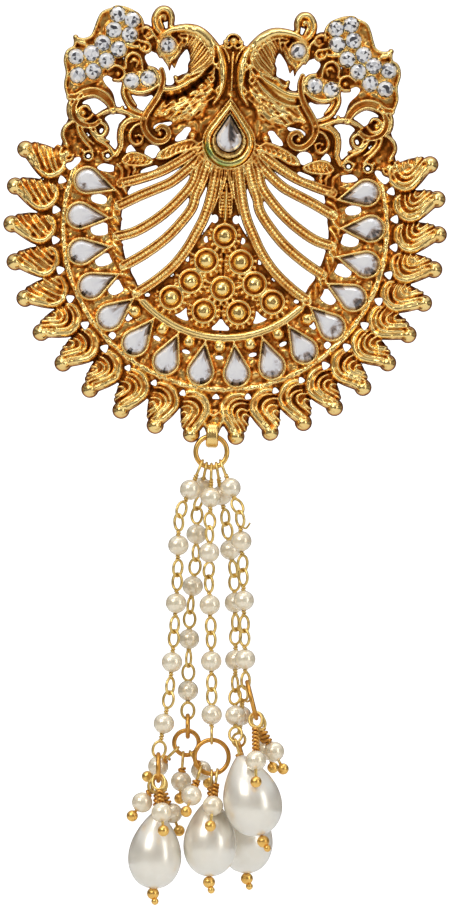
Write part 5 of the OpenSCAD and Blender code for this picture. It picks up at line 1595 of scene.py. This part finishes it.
# charms: top and foot of the pin, how far down it the pearl sits, and the eye's turn
CHARMS = [
    (edge_point(RING_A, SMALL_RING, 0, -15), (-14.6, -3.4, -103.6), 0.62, 90),
    (edge_point(RING_A, SMALL_RING, 0, -44), (-9.9, -7.6, -105.6), 0.66, 90),
    (edge_point(RING_A, SMALL_RING, 0, 24), (-7.6, 0.2, -106.0), 0.66, 90),
    (face_point(RING_B2, RING_B2_R, -16), (-7.5, 1.1, -101.2), 0.6, 0),
    (face_point(RING_B2, RING_B2_R, 26), (-3.2, 4.4, -99.0), 0.56, 0),
    (face_point(RING_B2, RING_B2_R, -60), (-12.4, 3.6, -98.0), 0.62, 0),
    (face_point(RING_C, RING_C_R, -42), (-6.5, -6.2, -102.8), 0.62, 0),
    (face_point(RING_C, RING_C_R, 18), (-2.9, -7.4, -104.9), 0.62, 0),
    (edge_point(RING_E, RING_E_R, RING_E_LEAN, -32), (3.9, -10.3, -98.2), 0.68, 90),
    (edge_point(RING_E, RING_E_R, RING_E_LEAN, 0), (8.0, -2.6, -96.6), 0.66, 90),
    (edge_point(RING_E, RING_E_R, RING_E_LEAN, 30), (6.5, 1.9, -96.6), 0.66, 90),
]
# an eye's middle lies this far below the joint that it hangs from: another eye, or a jump ring
EYE_INSET = EYE * TALL - WIRE + 0.02
RING_INSET = EYE * TALL - WIRE - JUMP + 0.03


def coil(top, low, r=0.36, wire=0.15):
    """Wire wrapped round a stem between two depths."""
    turns = max(1.0, (low - top) / (2.4 * wire + 0.06))
    n = int(turns * 10) + 2
    k = np.linspace(0, 1, n)
    a = 2 * math.pi * turns * k
    path = np.stack([r * 0.72 * np.cos(a), r * 0.72 * np.sin(a), -(top + (low - top) * k)], -1)
    return tube(path, wire, 6)


def eye(depth, turn):
    """An eye of the pins' wire with its middle at the depth."""
    return wire_ring((0, 0, -depth), EYE, WIRE, turn + 90, n=24, sides=8, tall=TALL)


def stem(top, low):
    """Straight wire between two depths."""
    return tube([(0, 0, -top), (0, 0, -(top + low) / 2), (0, 0, -low)], WIRE, 8)


def hook_end(depth):
    """The loose cut end of the wire beside an eye."""
    pts = [(0.25, 0, -depth), (0.75, 0, -depth - 0.25), (1.15, 0, -depth + 0.1), (1.45, 0, -depth + 0.55)]
    return tube(smooth(pts, 4), 0.16, 6)


def strand(s, name):
    """A chain of five eye pins, each with a small pearl between two coils of wire."""
    g = Group()
    joints = [np.asarray(p, float) for p in STRANDS[s]]
    for k in range(5):
        p, q = joints[k], joints[k + 1]
        if s == 4 and k == 4:
            p = p + np.array([-0.32, 0, 0.02])
        length = np.linalg.norm(q - p)
        up = RING_INSET if k == 0 else EYE_INSET
        down = RING_INSET if (k == 4 and s != 3) else EYE_INSET
        turn = LAST_TURN[s] if k == 4 else 90
        move = hang(p, q)
        mid = length / 2
        swing = SWING[s] + 4 * k
        g.add(eye(up, 0 if k == 0 else swing), 0, move)
        g.add(eye(length - down, turn if k == 4 else swing + 90 + 4), 0, move)
        low_end = length - down - EYE * TALL
        g.add(stem(up + EYE * TALL, low_end), 0, move)
        g.add(coil(up + EYE * TALL, mid - PEARL + 0.1), 0, move)
        g.add(coil(mid + PEARL - 0.1, low_end), 0, move)
        if (s, k) in ((4, 1), (4, 4)):
            g.add(hook_end(up + EYE * TALL), 0, move)
        v, f = ball((0, 0, 0), PEARL, rows=18, cols=30, squash=0.98)
        bulge = 1 + 0.012 * np.sin(3 * np.arctan2(v[:, 1], v[:, 0]) + s + k)
        g.add((v * bulge[:, None] + np.array([0, 0, -mid]), f), 1, move)
    nodes = [f"strand_{name}_pins", f"strand_{name}_pearls"]
    g.build("strand_" + name, [wire_gold, small_pearl], nodes)


for s, name in enumerate("abcde"):
    strand(s, name)


def drop_radius(t, r):
    """An egg with a drawn out top: widest at six tenths of its length, round below."""
    if t < 0.61:
        return r * math.sin(math.pi / 2 * t / 0.61) ** 0.8
    return r * math.sqrt(max(0.0, 1 - ((t - 0.61) / 0.39) ** 2)) ** 0.92


def drop(n, p, q, depth, length, turn, r):
    """A big drop pearl on its wrapped pin, with a large and a small ball below it."""
    g = Group()
    p, q = np.asarray(p, float), np.asarray(q, float)
    whole = np.linalg.norm(q - p)
    move = hang(p, q)
    inset = EYE_INSET if n == 3 else RING_INSET
    g.add(eye(inset, turn), 0, move)
    g.add(stem(inset + EYE * TALL, whole), 0, move)
    g.add(coil(inset + EYE * TALL, depth + 0.15, r=0.62, wire=0.25), 3, move)
    g.add(ball((0, 0, -whole), 0.92, rows=16, cols=26), 2, move)
    g.add(ball((0.35, -0.3, -whole - 1.15), 0.55, rows=12, cols=20), 2, move)
    ts = np.concatenate([np.linspace(0.0, 0.1, 8), np.linspace(0.12, 0.94, 34), np.linspace(0.95, 1.0, 10)])
    prof = [(0, -0.02 * length)] + [(drop_radius(t, r), -t * length) for t in ts[1:-1]] + [(0, -length)]
    v, f = lathe(prof, 56)
    g.add((v + np.array([0, 0, -depth]), f), 1, move)
    # the small cup of wire at the drop's top
    v, f = wire_ring((0, 0, 0), 0.5, 0.17, 0, n=20, sides=6)
    g.add((np.stack([v[:, 0], v[:, 2], v[:, 1] * 0.6 - depth - 0.12], -1), f), 0, move)
    looks = [wire_gold, drop_pearl, ball_gold, ring_gold]
    g.build(f"drop_{n}", looks, [f"drop_pearl_{n}", f"drop_pin_{n}"])


for n, sizes in enumerate(DROPS, 1):
    drop(n, *sizes)


def charms():
    """The small pearls on head pins that hang in clusters."""
    g = Group()
    for p, q, share, turn in CHARMS:
        p, q = np.asarray(p, float), np.asarray(q, float)
        whole = np.linalg.norm(q - p)
        depth = whole * share
        move = hang(p, q)
        g.add(eye(RING_INSET, turn), 0, move)
        g.add(stem(RING_INSET + EYE * TALL, whole), 0, move)
        g.add(coil(RING_INSET + EYE * TALL, depth - PEARL + 0.1, r=0.58, wire=0.24), 3, move)
        g.add(ball((0, 0, -depth), PEARL, rows=18, cols=30, squash=0.98), 1, move)
        g.add(ball((0, 0, -whole), 0.86, rows=14, cols=22), 2, move)
    looks = [wire_gold, small_pearl, ball_gold, ring_gold]
    g.build("charms", looks, ["charm_pins", "charm_pearls"])


charms()


def leaning(c, r, lean):
    """A jump ring that shows its edge, turned by its lean in the plane that it lies in."""
    t = math.radians(lean)
    v, f = wire_ring((0, 0, 0), r, JUMP, 90, n=48, sides=12)
    x = v[:, 0] * math.cos(t) + v[:, 2] * math.sin(t)
    z = -v[:, 0] * math.sin(t) + v[:, 2] * math.cos(t)
    return np.stack([x, v[:, 1], z], -1) + c, f


def jump_ring(name, look, *parts):
    """One jump ring's object, made of one or two rings of wire."""
    g = Group()
    for part in parts:
        g.add(part)
    g.build("jump_" + name, [look], [name])


jump_ring("top_ring", ball_gold, wire_ring(TOP_RING, TOP_R, 0.38, 0, n=48, sides=12))
jump_ring("ring_a", ring_gold, wire_ring(RING_A, SMALL_RING, JUMP, 90, n=48, sides=12))
jump_ring("ring_c", ring_gold, wire_ring(RING_C, RING_C_R, JUMP, 0, n=48, sides=12))
jump_ring("ring_b", ring_gold, wire_ring(RING_B, RING_B_R, JUMP, 90, n=44, sides=12),
          wire_ring(RING_B2 + np.array([0, 0, 0.14]), RING_B2_R, JUMP, 0, n=44, sides=12))
jump_ring("ring_d", ring_gold, leaning(RING_D, SMALL_RING, RING_D_LEAN))
jump_ring("ring_e", ring_gold, leaning(RING_E, RING_E_R, RING_E_LEAN))


# The bail, the lugs and the pin


def plate_points(v):
    """Plate millimetres to row millimetres."""
    return to_row(v[:, 0], v[:, 1], v[:, 2]) / MM


def bail():
    """The strap of the bail: a stack of rounded bands bent into a ring."""
    g = Group()
    t = np.linspace(0, 2 * math.pi, 40, endpoint=False)
    ring_mid, thick = 1.12, 0.47
    v, w = -31.1 + 1.13 * ring_mid * 1.16 * np.cos(t), 1.5 + ring_mid * np.sin(t)
    for k in range(5):
        u = np.full(t.shape, -0.5 + (k - 2) * 0.24)
        g.add(tube(np.stack([u, v, w], -1), thick, 8, closed=True), 0, plate_points)
    g.build("bail", [cast_gold], ["plate"], patina_and_shade=0.12)


bail()
# the pin's bar runs through the lugs at this depth behind the plate
BAR_Y = 1.35


def lug(x):
    """A lug as an arch drilled for the bar, straight down into the plate below the bore."""
    r_out, r_in, half, n = 1.35, 0.8, 0.6, 28
    a = np.linspace(0, 2 * math.pi, n, endpoint=False)
    inner = np.stack([r_in * np.cos(a), r_in * np.sin(a)], -1)
    outer = np.stack([r_out * np.cos(a), r_out * np.sin(a)], -1)
    reach = np.maximum(np.abs(outer[:, 0]), np.where(np.abs(outer[:, 0]) > 0.4, r_out, 0))
    outer[:, 0] = np.where(outer[:, 1] < 0, np.sign(outer[:, 0]) * reach, outer[:, 0])
    outer[:, 1] = np.where(outer[:, 1] < -0.2, -BAR_Y - 0.6, outer[:, 1])
    narrow = outer * [0.96, 1]
    rows = []
    for ring, off in ((inner, -half), (narrow, -half), (outer, 0.08 - half),
                      (outer, half - 0.08), (narrow, half), (inner, half)):
        rows.append(np.stack([np.full(n, x + off), ring[:, 1] + BAR_Y, ring[:, 0]], -1))
    i = np.arange(n)
    j = (i + 1) % n
    f = []
    for k in range(6):
        a0, b0 = k * n, ((k + 1) % 6) * n
        f.append(np.stack([a0 + i, b0 + i, b0 + j, a0 + j], -1))
    return np.vstack(rows), [np.vstack(f)]


def lugs():
    """The two lugs behind the plate."""
    g = Group()
    for x in (-1.5, 1.5):
        g.add(lug(x))
    g.build("lugs", [cast_gold], ["plate"], patina_and_shade=0.3)


def hair_pin():
    """The two-legged pin: one wire with a bar, two bends and two legs with round ends."""
    half, bend, leg_end, r = 4.0, 1.8, 57.0, 0.75
    bend_y = BAR_Y + bend
    turned = np.linspace(0.15, math.pi / 2, 8)
    left = [(-half, y, 0) for y in np.linspace(leg_end, bend_y, 30)]
    left += [(-half + bend - bend * math.cos(a), bend_y - bend * math.sin(a), 0) for a in turned]
    bar = [(x, BAR_Y, 0) for x in np.linspace(-half + bend + 0.3, half - bend - 0.3, 6)]
    right = [(half - bend + bend * math.sin(a), bend_y - bend * math.cos(a), 0)
             for a in np.linspace(0, math.pi / 2 - 0.15, 8)]
    right += [(half, y, 0) for y in np.linspace(bend_y, leg_end, 30)]
    round_end = [(leg_end + r * math.cos(a), r * math.sin(a) + 0.01) for a in math.pi / 2 * np.arange(6) / 6]
    first = [(-half, y, 0) for y, _ in round_end]
    last = [(half, y, 0) for y, _ in round_end[::-1]]
    ends = [end_r for _, end_r in round_end]
    radii = np.concatenate([ends, np.full(len(left + bar + right), r), ends[::-1]])
    g = Group()
    g.add(tube(np.array(first + left + bar + right + last), radii, 20))
    g.build("hair_pin_wire", [wire_gold], ["hair_pin"])


lugs()
hair_pin()


# The stones


class Facets:
    """Flat facets with points of their own, each point with the painted tone of the reflection that it
    mirrors.
    """

    def __init__(self):
        self.v, self.f, self.tone = [], [], []

    def add(self, points, tones):
        start = len(self.v)
        self.v.extend(points)
        self.f.append(list(range(start, start + len(points))))
        self.tone.extend(tones)

    def placed(self, place):
        return place(np.array(self.v)), self.f, np.array(self.tone)


def cut_drop(place, lie, r, tip, seed, low, girdle, top, table, sides, dark):
    """A cut teardrop: an outline, two rows of crown facets and a table.

    place maps local points to the row, and lie gives their places in the plate's plane.
    dark holds the soft dark reflections painted on it: u, v, half width, half height and depth.
    """
    rnd = np.random.default_rng(seed)
    cos_flank = r / tip
    flank = math.acos(cos_flank)
    half_way = ((tip * 0.5 + r * cos_flank * 0.5), (r * math.sin(flank)) * 0.5)
    outline = [(tip, 0), half_way]
    turns = np.linspace(flank, 2 * math.pi - flank, sides - 2)
    outline += [(r * math.cos(a), r * math.sin(a)) for a in turns]
    outline += [(half_way[0], -half_way[1])]
    o = np.array(outline)
    c = np.array([0.35, 0])
    n = len(o)

    def row(share, w):
        return np.column_stack([c + (o - c) * share, np.full(n, w)])

    foot = np.column_stack([o * 0.94, np.full(n, low)])
    belt = np.column_stack([o, np.full(n, girdle)])
    shoulder = row((1 + table) / 2, girdle + (top - girdle) * 0.66)
    table_rows = [row(table * s, top) for s in (1.0, 0.66, 0.33)]
    star = rnd.uniform(0, 1)

    def value(p, base):
        """The painted reflection in the stone's colour: a pale room, dark patches, a bright window and
        painted shade at its tip.
        """
        d = lie(np.array([[p[0], p[1]]]))[0]
        t = base + 0.34 * math.exp(-((d[0] + 0.45 * r) ** 2 + (d[1] - 0.3 * r) ** 2) / (0.35 * r * r))
        for du, dv, wu, wv, deep in dark:
            t -= deep * math.exp(-((d[0] - du * r) / (wu * r)) ** 2 - ((d[1] - dv * r) / (wv * r)) ** 2)
        t -= 0.33 * min(1.0, max(0.0, (p[0] - r * 0.75) / (r * 0.5)))
        # the pavilion behind is painted in as a faint star of light and dark
        a = math.atan2(p[1], p[0] - 0.2) / (2 * math.pi) * 9 + star
        t += 0.12 * math.copysign(1, math.sin(2 * math.pi * a)) * min(1, math.hypot(p[0], p[1]) / (0.6 * r))
        return min(1.0, max(0.0, t + rnd.normal(0, 0.03)))

    facets = Facets()

    def ring(a, b, base, per_point=False):
        """A ring of facets between two rows, each of one tone or with a tone for every point."""
        for i in range(n):
            k = (i + 1) % n
            points = [a[i], a[k], b[k], b[i]] if len(b) == n else [a[i], a[k], b[0]]
            if per_point:
                tones = [value(q, base) for q in points]
            else:
                tones = [value(np.mean(points, axis=0), base)] * len(points)
            facets.add(points, tones)

    # each row of facets has its own painted brightness, darker towards the foot
    ring(foot, belt, 0.25)
    ring(belt, shoulder, 0.52)
    ring(shoulder, table_rows[0], 0.64)
    # the flat table is drawn in three rows, so that its painted reflection runs across it
    ring(table_rows[0], table_rows[1], 0.68, True)
    ring(table_rows[1], table_rows[2], 0.68, True)
    ring(table_rows[2], [np.array([*c, top])], 0.7, True)
    for i in range(n):
        points = [foot[(i + 1) % n], foot[i], np.array([*c, low])]
        facets.add(points, [value(np.mean(points, axis=0), 0.3)] * 3)
    return facets.placed(place)


def build_stone(name, parts, material, node):
    """One object of one or more cut stones."""
    verts = np.vstack([p[0] for p in parts])
    faces, tone, base = {}, [], 0
    for v, f, t in parts:
        for q in f:
            faces.setdefault(len(q), []).append([i + base for i in q])
        tone.append(t)
        base += len(v)
    # the tone attribute carries each facet's painted reflection
    obj = add_object(name, verts * MM, [np.array(x) for x in faces.values()], [material],
                     attributes={"tone": np.concatenate(tone)}, flat=True)
    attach(obj, "root")
    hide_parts(node)


def rim_place(a):
    """The two maps of a rim stone's points: to the row, and to the plate's plane about its middle."""
    c = around(STONE_RADIUS, a)
    inward = -c / np.linalg.norm(c)
    side = np.array([-inward[1], inward[0]])

    def lie(v):
        return np.outer(v[:, 0], inward) + np.outer(v[:, 1], side)

    def place(v):
        return plate_points(np.column_stack([c + lie(v), v[:, 2]]))
    return place, lie


# the dark reflections painted on each rim stone, from the bottom up, in shares of its radius
LEFT_DARK_REFLECTIONS = [
    [(0.25, -0.75, 0.45, 0.22, 0.75), (0.6, 0.1, 0.25, 0.5, 0.35)],
    [(-0.1, -0.8, 0.4, 0.25, 0.7), (0.2, -0.3, 0.3, 0.2, 0.3)],
    [(-0.35, -0.75, 0.35, 0.3, 0.7), (0.35, -0.1, 0.2, 0.35, 0.35)],
    [(0.3, 0.65, 0.4, 0.4, 0.45), (-0.5, -0.6, 0.3, 0.3, 0.3)],
    [(-0.3, -0.6, 0.5, 0.22, 0.65), (0.3, 0.4, 0.3, 0.3, 0.3)],
    [(-0.45, -0.6, 0.25, 0.3, 0.85), (-0.15, 0.1, 0.12, 0.3, 0.5)],
    [(0.0, -0.85, 0.4, 0.2, 0.45), (0.5, -0.3, 0.3, 0.2, 0.2)],
    [(-0.2, -0.55, 0.2, 0.35, 0.8), (-0.5, -0.35, 0.35, 0.15, 0.45)],
]
RIGHT_DARK_REFLECTIONS = [
    [(0.0, -0.75, 0.5, 0.2, 0.75), (-0.3, 0.1, 0.15, 0.5, 0.3)],
    [(0.1, -0.6, 0.6, 0.25, 0.65), (0.3, 0.3, 0.25, 0.4, 0.35)],
    [(0.3, -0.4, 0.5, 0.4, 0.7), (-0.5, -0.6, 0.3, 0.2, 0.4)],
    [(0.1, -0.2, 0.4, 0.5, 0.75), (0.6, 0.4, 0.3, 0.3, 0.3)],
    [(0.35, -0.35, 0.45, 0.45, 0.85), (-0.4, 0.3, 0.2, 0.3, 0.3)],
    [(0.2, -0.5, 0.55, 0.3, 0.8), (0.6, 0.2, 0.2, 0.4, 0.4)],
    [(0.3, -0.3, 0.5, 0.5, 0.75), (-0.3, -0.7, 0.4, 0.2, 0.4)],
    [(0.0, -0.55, 0.6, 0.28, 0.8), (0.5, 0.1, 0.25, 0.3, 0.4)],
]
CENTRE_DARK_REFLECTIONS = [(0.2, 0.4, 0.32, 0.62, 1.7), (0.1, -0.72, 0.6, 0.2, 0.3), (-0.25, 1.05, 0.3, 0.3, 0.4)]
for k, (side, i, a) in enumerate(RIM_STONES):
    dark = (LEFT_DARK_REFLECTIONS if side < 0 else RIGHT_DARK_REFLECTIONS)[i]
    part = cut_drop(*rim_place(a), r=1.76, tip=3.85, seed=100 + k, low=0.95, girdle=1.62, top=2.5,
                    table=0.62, sides=20, dark=dark)
    build_stone(f"rim_stone_dressed_{k + 1:02d}", [part], rim_stone_mat, f"rim_stone_{k + 1:02d}")


def up_lie(v):
    """The centre stone's points in the plate's plane about its middle: its tip points up."""
    return np.column_stack([-v[:, 1], v[:, 0]])


def up_place(v):
    """The centre stone's points in the row."""
    return plate_points(np.column_stack([up_lie(v) + (0, CENTRE_STONE_V), v[:, 2]]))


part = cut_drop(up_place, up_lie, r=1.86, tip=3.6, seed=55, low=1.45, girdle=2.3, top=3.2,
                table=0.68, sides=24, dark=CENTRE_DARK_REFLECTIONS)
build_stone("centre_stone_dressed", [part], rim_stone_mat, "centre_stone")


def brilliant(c, seed):
    """A round brilliant: table, star, kite and girdle facets with painted reflections, light and dark."""
    r, low, girdle, top = 1.17, 1.25, 1.85, 2.4
    rnd = np.random.default_rng(seed)
    turn = rnd.uniform(0, math.pi / 4)

    def ring(share, z, n, off=0.0):
        a = np.arange(n) * 2 * math.pi / n + turn + off
        return np.column_stack([c[0] + r * share * np.cos(a), c[1] + r * share * np.sin(a), np.full(n, z)])

    g = ring(1.0, girdle, 16)
    k = ring(0.78, girdle + (top - girdle) * 0.62, 8, math.pi / 8)
    t = ring(0.55, top, 8)
    foot = ring(0.9, low, 16)
    facets = Facets()

    def add(points, tone):
        facets.add(points, [tone] * len(points))

    # painted reflections: dark on the facets below the girdle, random lights and darks on the crown and
    # table
    for i in range(16):
        j = (i + 1) % 16
        add([foot[i], foot[j], g[j], g[i]], 0.15)
    for i in range(8):
        j = (i + 1) % 8
        tones = rnd.choice([0.02, 0.2, 0.5, 0.75, 1.0], 5, p=[0.1, 0.13, 0.19, 0.28, 0.3])
        add([g[2 * i], g[2 * i + 1], k[i]], tones[0])
        add([g[2 * i + 1], g[(2 * i + 2) % 16], k[i]], tones[1])
        add([g[2 * i], k[i], t[i], k[i - 1]], tones[2])
        add([k[i], t[j], t[i]], tones[3])
        add([t[i], t[j], np.array([c[0], c[1], top])], rnd.choice([0.03, 0.4, 0.7, 1.0]))
    return facets.placed(plate_points)


for side, name in ((1, "left"), (-1, "right")):
    parts = [brilliant((side * c[0], c[1]), 300 + 20 * side + n) for n, c in enumerate(CHATONS)]
    build_stone("chatons_dressed_" + name, parts, chaton_mat, "chatons_" + name)


# Floor, backdrop, lights and camera


def plain(name, grey, rough, glow):
    """A plain pale stage material."""
    m, _, _, b = new_material(name)
    b.inputs["Base Color"].default_value = (grey, grey, grey, 1)
    b.inputs["Roughness"].default_value = rough
    b.inputs["Emission Color"].default_value = (grey, grey, grey, 1)
    b.inputs["Emission Strength"].default_value = glow
    return m


def floor_and_backdrop():
    """A plain pale floor below, and an evenly lit white card a long way behind, both small."""
    x, z = 0.32, -0.165
    flat = np.array([(-x, -0.30, z), (x, -0.30, z), (x, 0.40, z), (-x, 0.40, z)])
    pale = plain("floor_pale", grey=0.86, rough=0.8, glow=0.0)
    floor = add_object("floor", flat, [np.array([[0, 1, 2, 3]])], [pale])
    x, y = 0.17, 1.75
    card = np.array([(-x, y, -0.30), (x, y, -0.30), (x, y, 0.20), (-x, y, 0.20)])
    white = plain("backdrop_white", grey=1.0, rough=0.9, glow=1.0)
    return floor, add_object("backdrop", card, [np.array([[0, 1, 2, 3]])], [white])


for item in floor_and_backdrop():
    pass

scene = bpy.context.scene
# the studio from straight down to straight up: a soft glow, a dark band at eye level, and brightness above
BANDS = [
    (0.0, (0.22, 0.20, 0.18)), (0.30, (0.13, 0.11, 0.09)), (0.40, (0.05, 0.035, 0.025)),
    (0.46, (0.26, 0.23, 0.19)), (0.54, (0.34, 0.31, 0.27)), (0.60, (0.06, 0.045, 0.035)),
    (0.68, (0.14, 0.12, 0.10)), (0.76, (0.55, 0.57, 0.60)), (1.0, (0.75, 0.77, 0.80)),
]


def studio():
    """The world that the gold mirrors: bands of light and dark by height alone."""
    world = bpy.data.worlds.new("studio")
    scene.world = world
    world.use_nodes = True
    nodes, links = world.node_tree.nodes, world.node_tree.links
    nodes.clear()
    out = nodes.new("ShaderNodeOutputWorld")
    ground = nodes.new("ShaderNodeBackground")
    where = nodes.new("ShaderNodeTexCoord")
    split = nodes.new("ShaderNodeSeparateXYZ")
    links.new(where.outputs["Generated"], split.inputs[0])
    height = nodes.new("ShaderNodeMapRange")
    height.inputs["From Min"].default_value = -1.0
    height.inputs["From Max"].default_value = 1.0
    links.new(split.outputs["Z"], height.inputs["Value"])
    bands = ramp(nodes, BANDS)
    links.new(height.outputs[0], bands.inputs[0])
    links.new(bands.outputs[0], ground.inputs["Color"])
    ground.inputs["Strength"].default_value = 1.0
    links.new(ground.outputs[0], out.inputs[0])


def light(name, at, size, energy, colour=(1, 1, 1)):
    """A soft rectangular lamp that points at the middle of the object."""
    data = bpy.data.lights.new(name, "AREA")
    data.shape = "RECTANGLE"
    data.size, data.size_y = size
    data.energy = energy
    data.color = colour
    o = bpy.data.objects.new(name, data)
    scene.collection.objects.link(o)
    o.location = at
    o.rotation_euler = (Vector((0, 0, -0.04)) - Vector(at)).to_track_quat("-Z", "Y").to_euler()


studio()
light("key", (-0.34, -0.50, 0.34), size=(0.36, 0.36), energy=1.75, colour=(1.0, 0.985, 0.95))
light("fill", (0.46, -0.40, 0.06), size=(0.16, 0.46), energy=0.75, colour=(1.0, 0.99, 0.97))
light("top", (0.05, -0.06, 0.48), size=(0.6, 0.18), energy=0.9)
light("low", (0.0, -0.42, -0.42), size=(0.5, 0.10), energy=0.3, colour=(1.0, 0.97, 0.93))

camera_data = bpy.data.cameras.new("camera")
camera = bpy.data.objects.new("camera", camera_data)
scene.collection.objects.link(camera)
scene.camera = camera
# the camera's distance from the plate's front and the height that it sees there, in metres
DISTANCE, SEEN_HEIGHT, SENSOR = 1.1, 0.13635, 24
camera_data.sensor_fit = "VERTICAL"
camera_data.sensor_height = SENSOR
camera_data.lens = SENSOR * DISTANCE / SEEN_HEIGHT
camera_data.clip_start, camera_data.clip_end = 0.05, 10
camera.location = (-0.00063, -DISTANCE - 0.002, -0.04946)
camera.rotation_euler = (math.pi / 2, 0, 0)
camera_data.dof.use_dof = False

scene.view_settings.view_transform = "Standard"
scene.view_settings.look = "None"
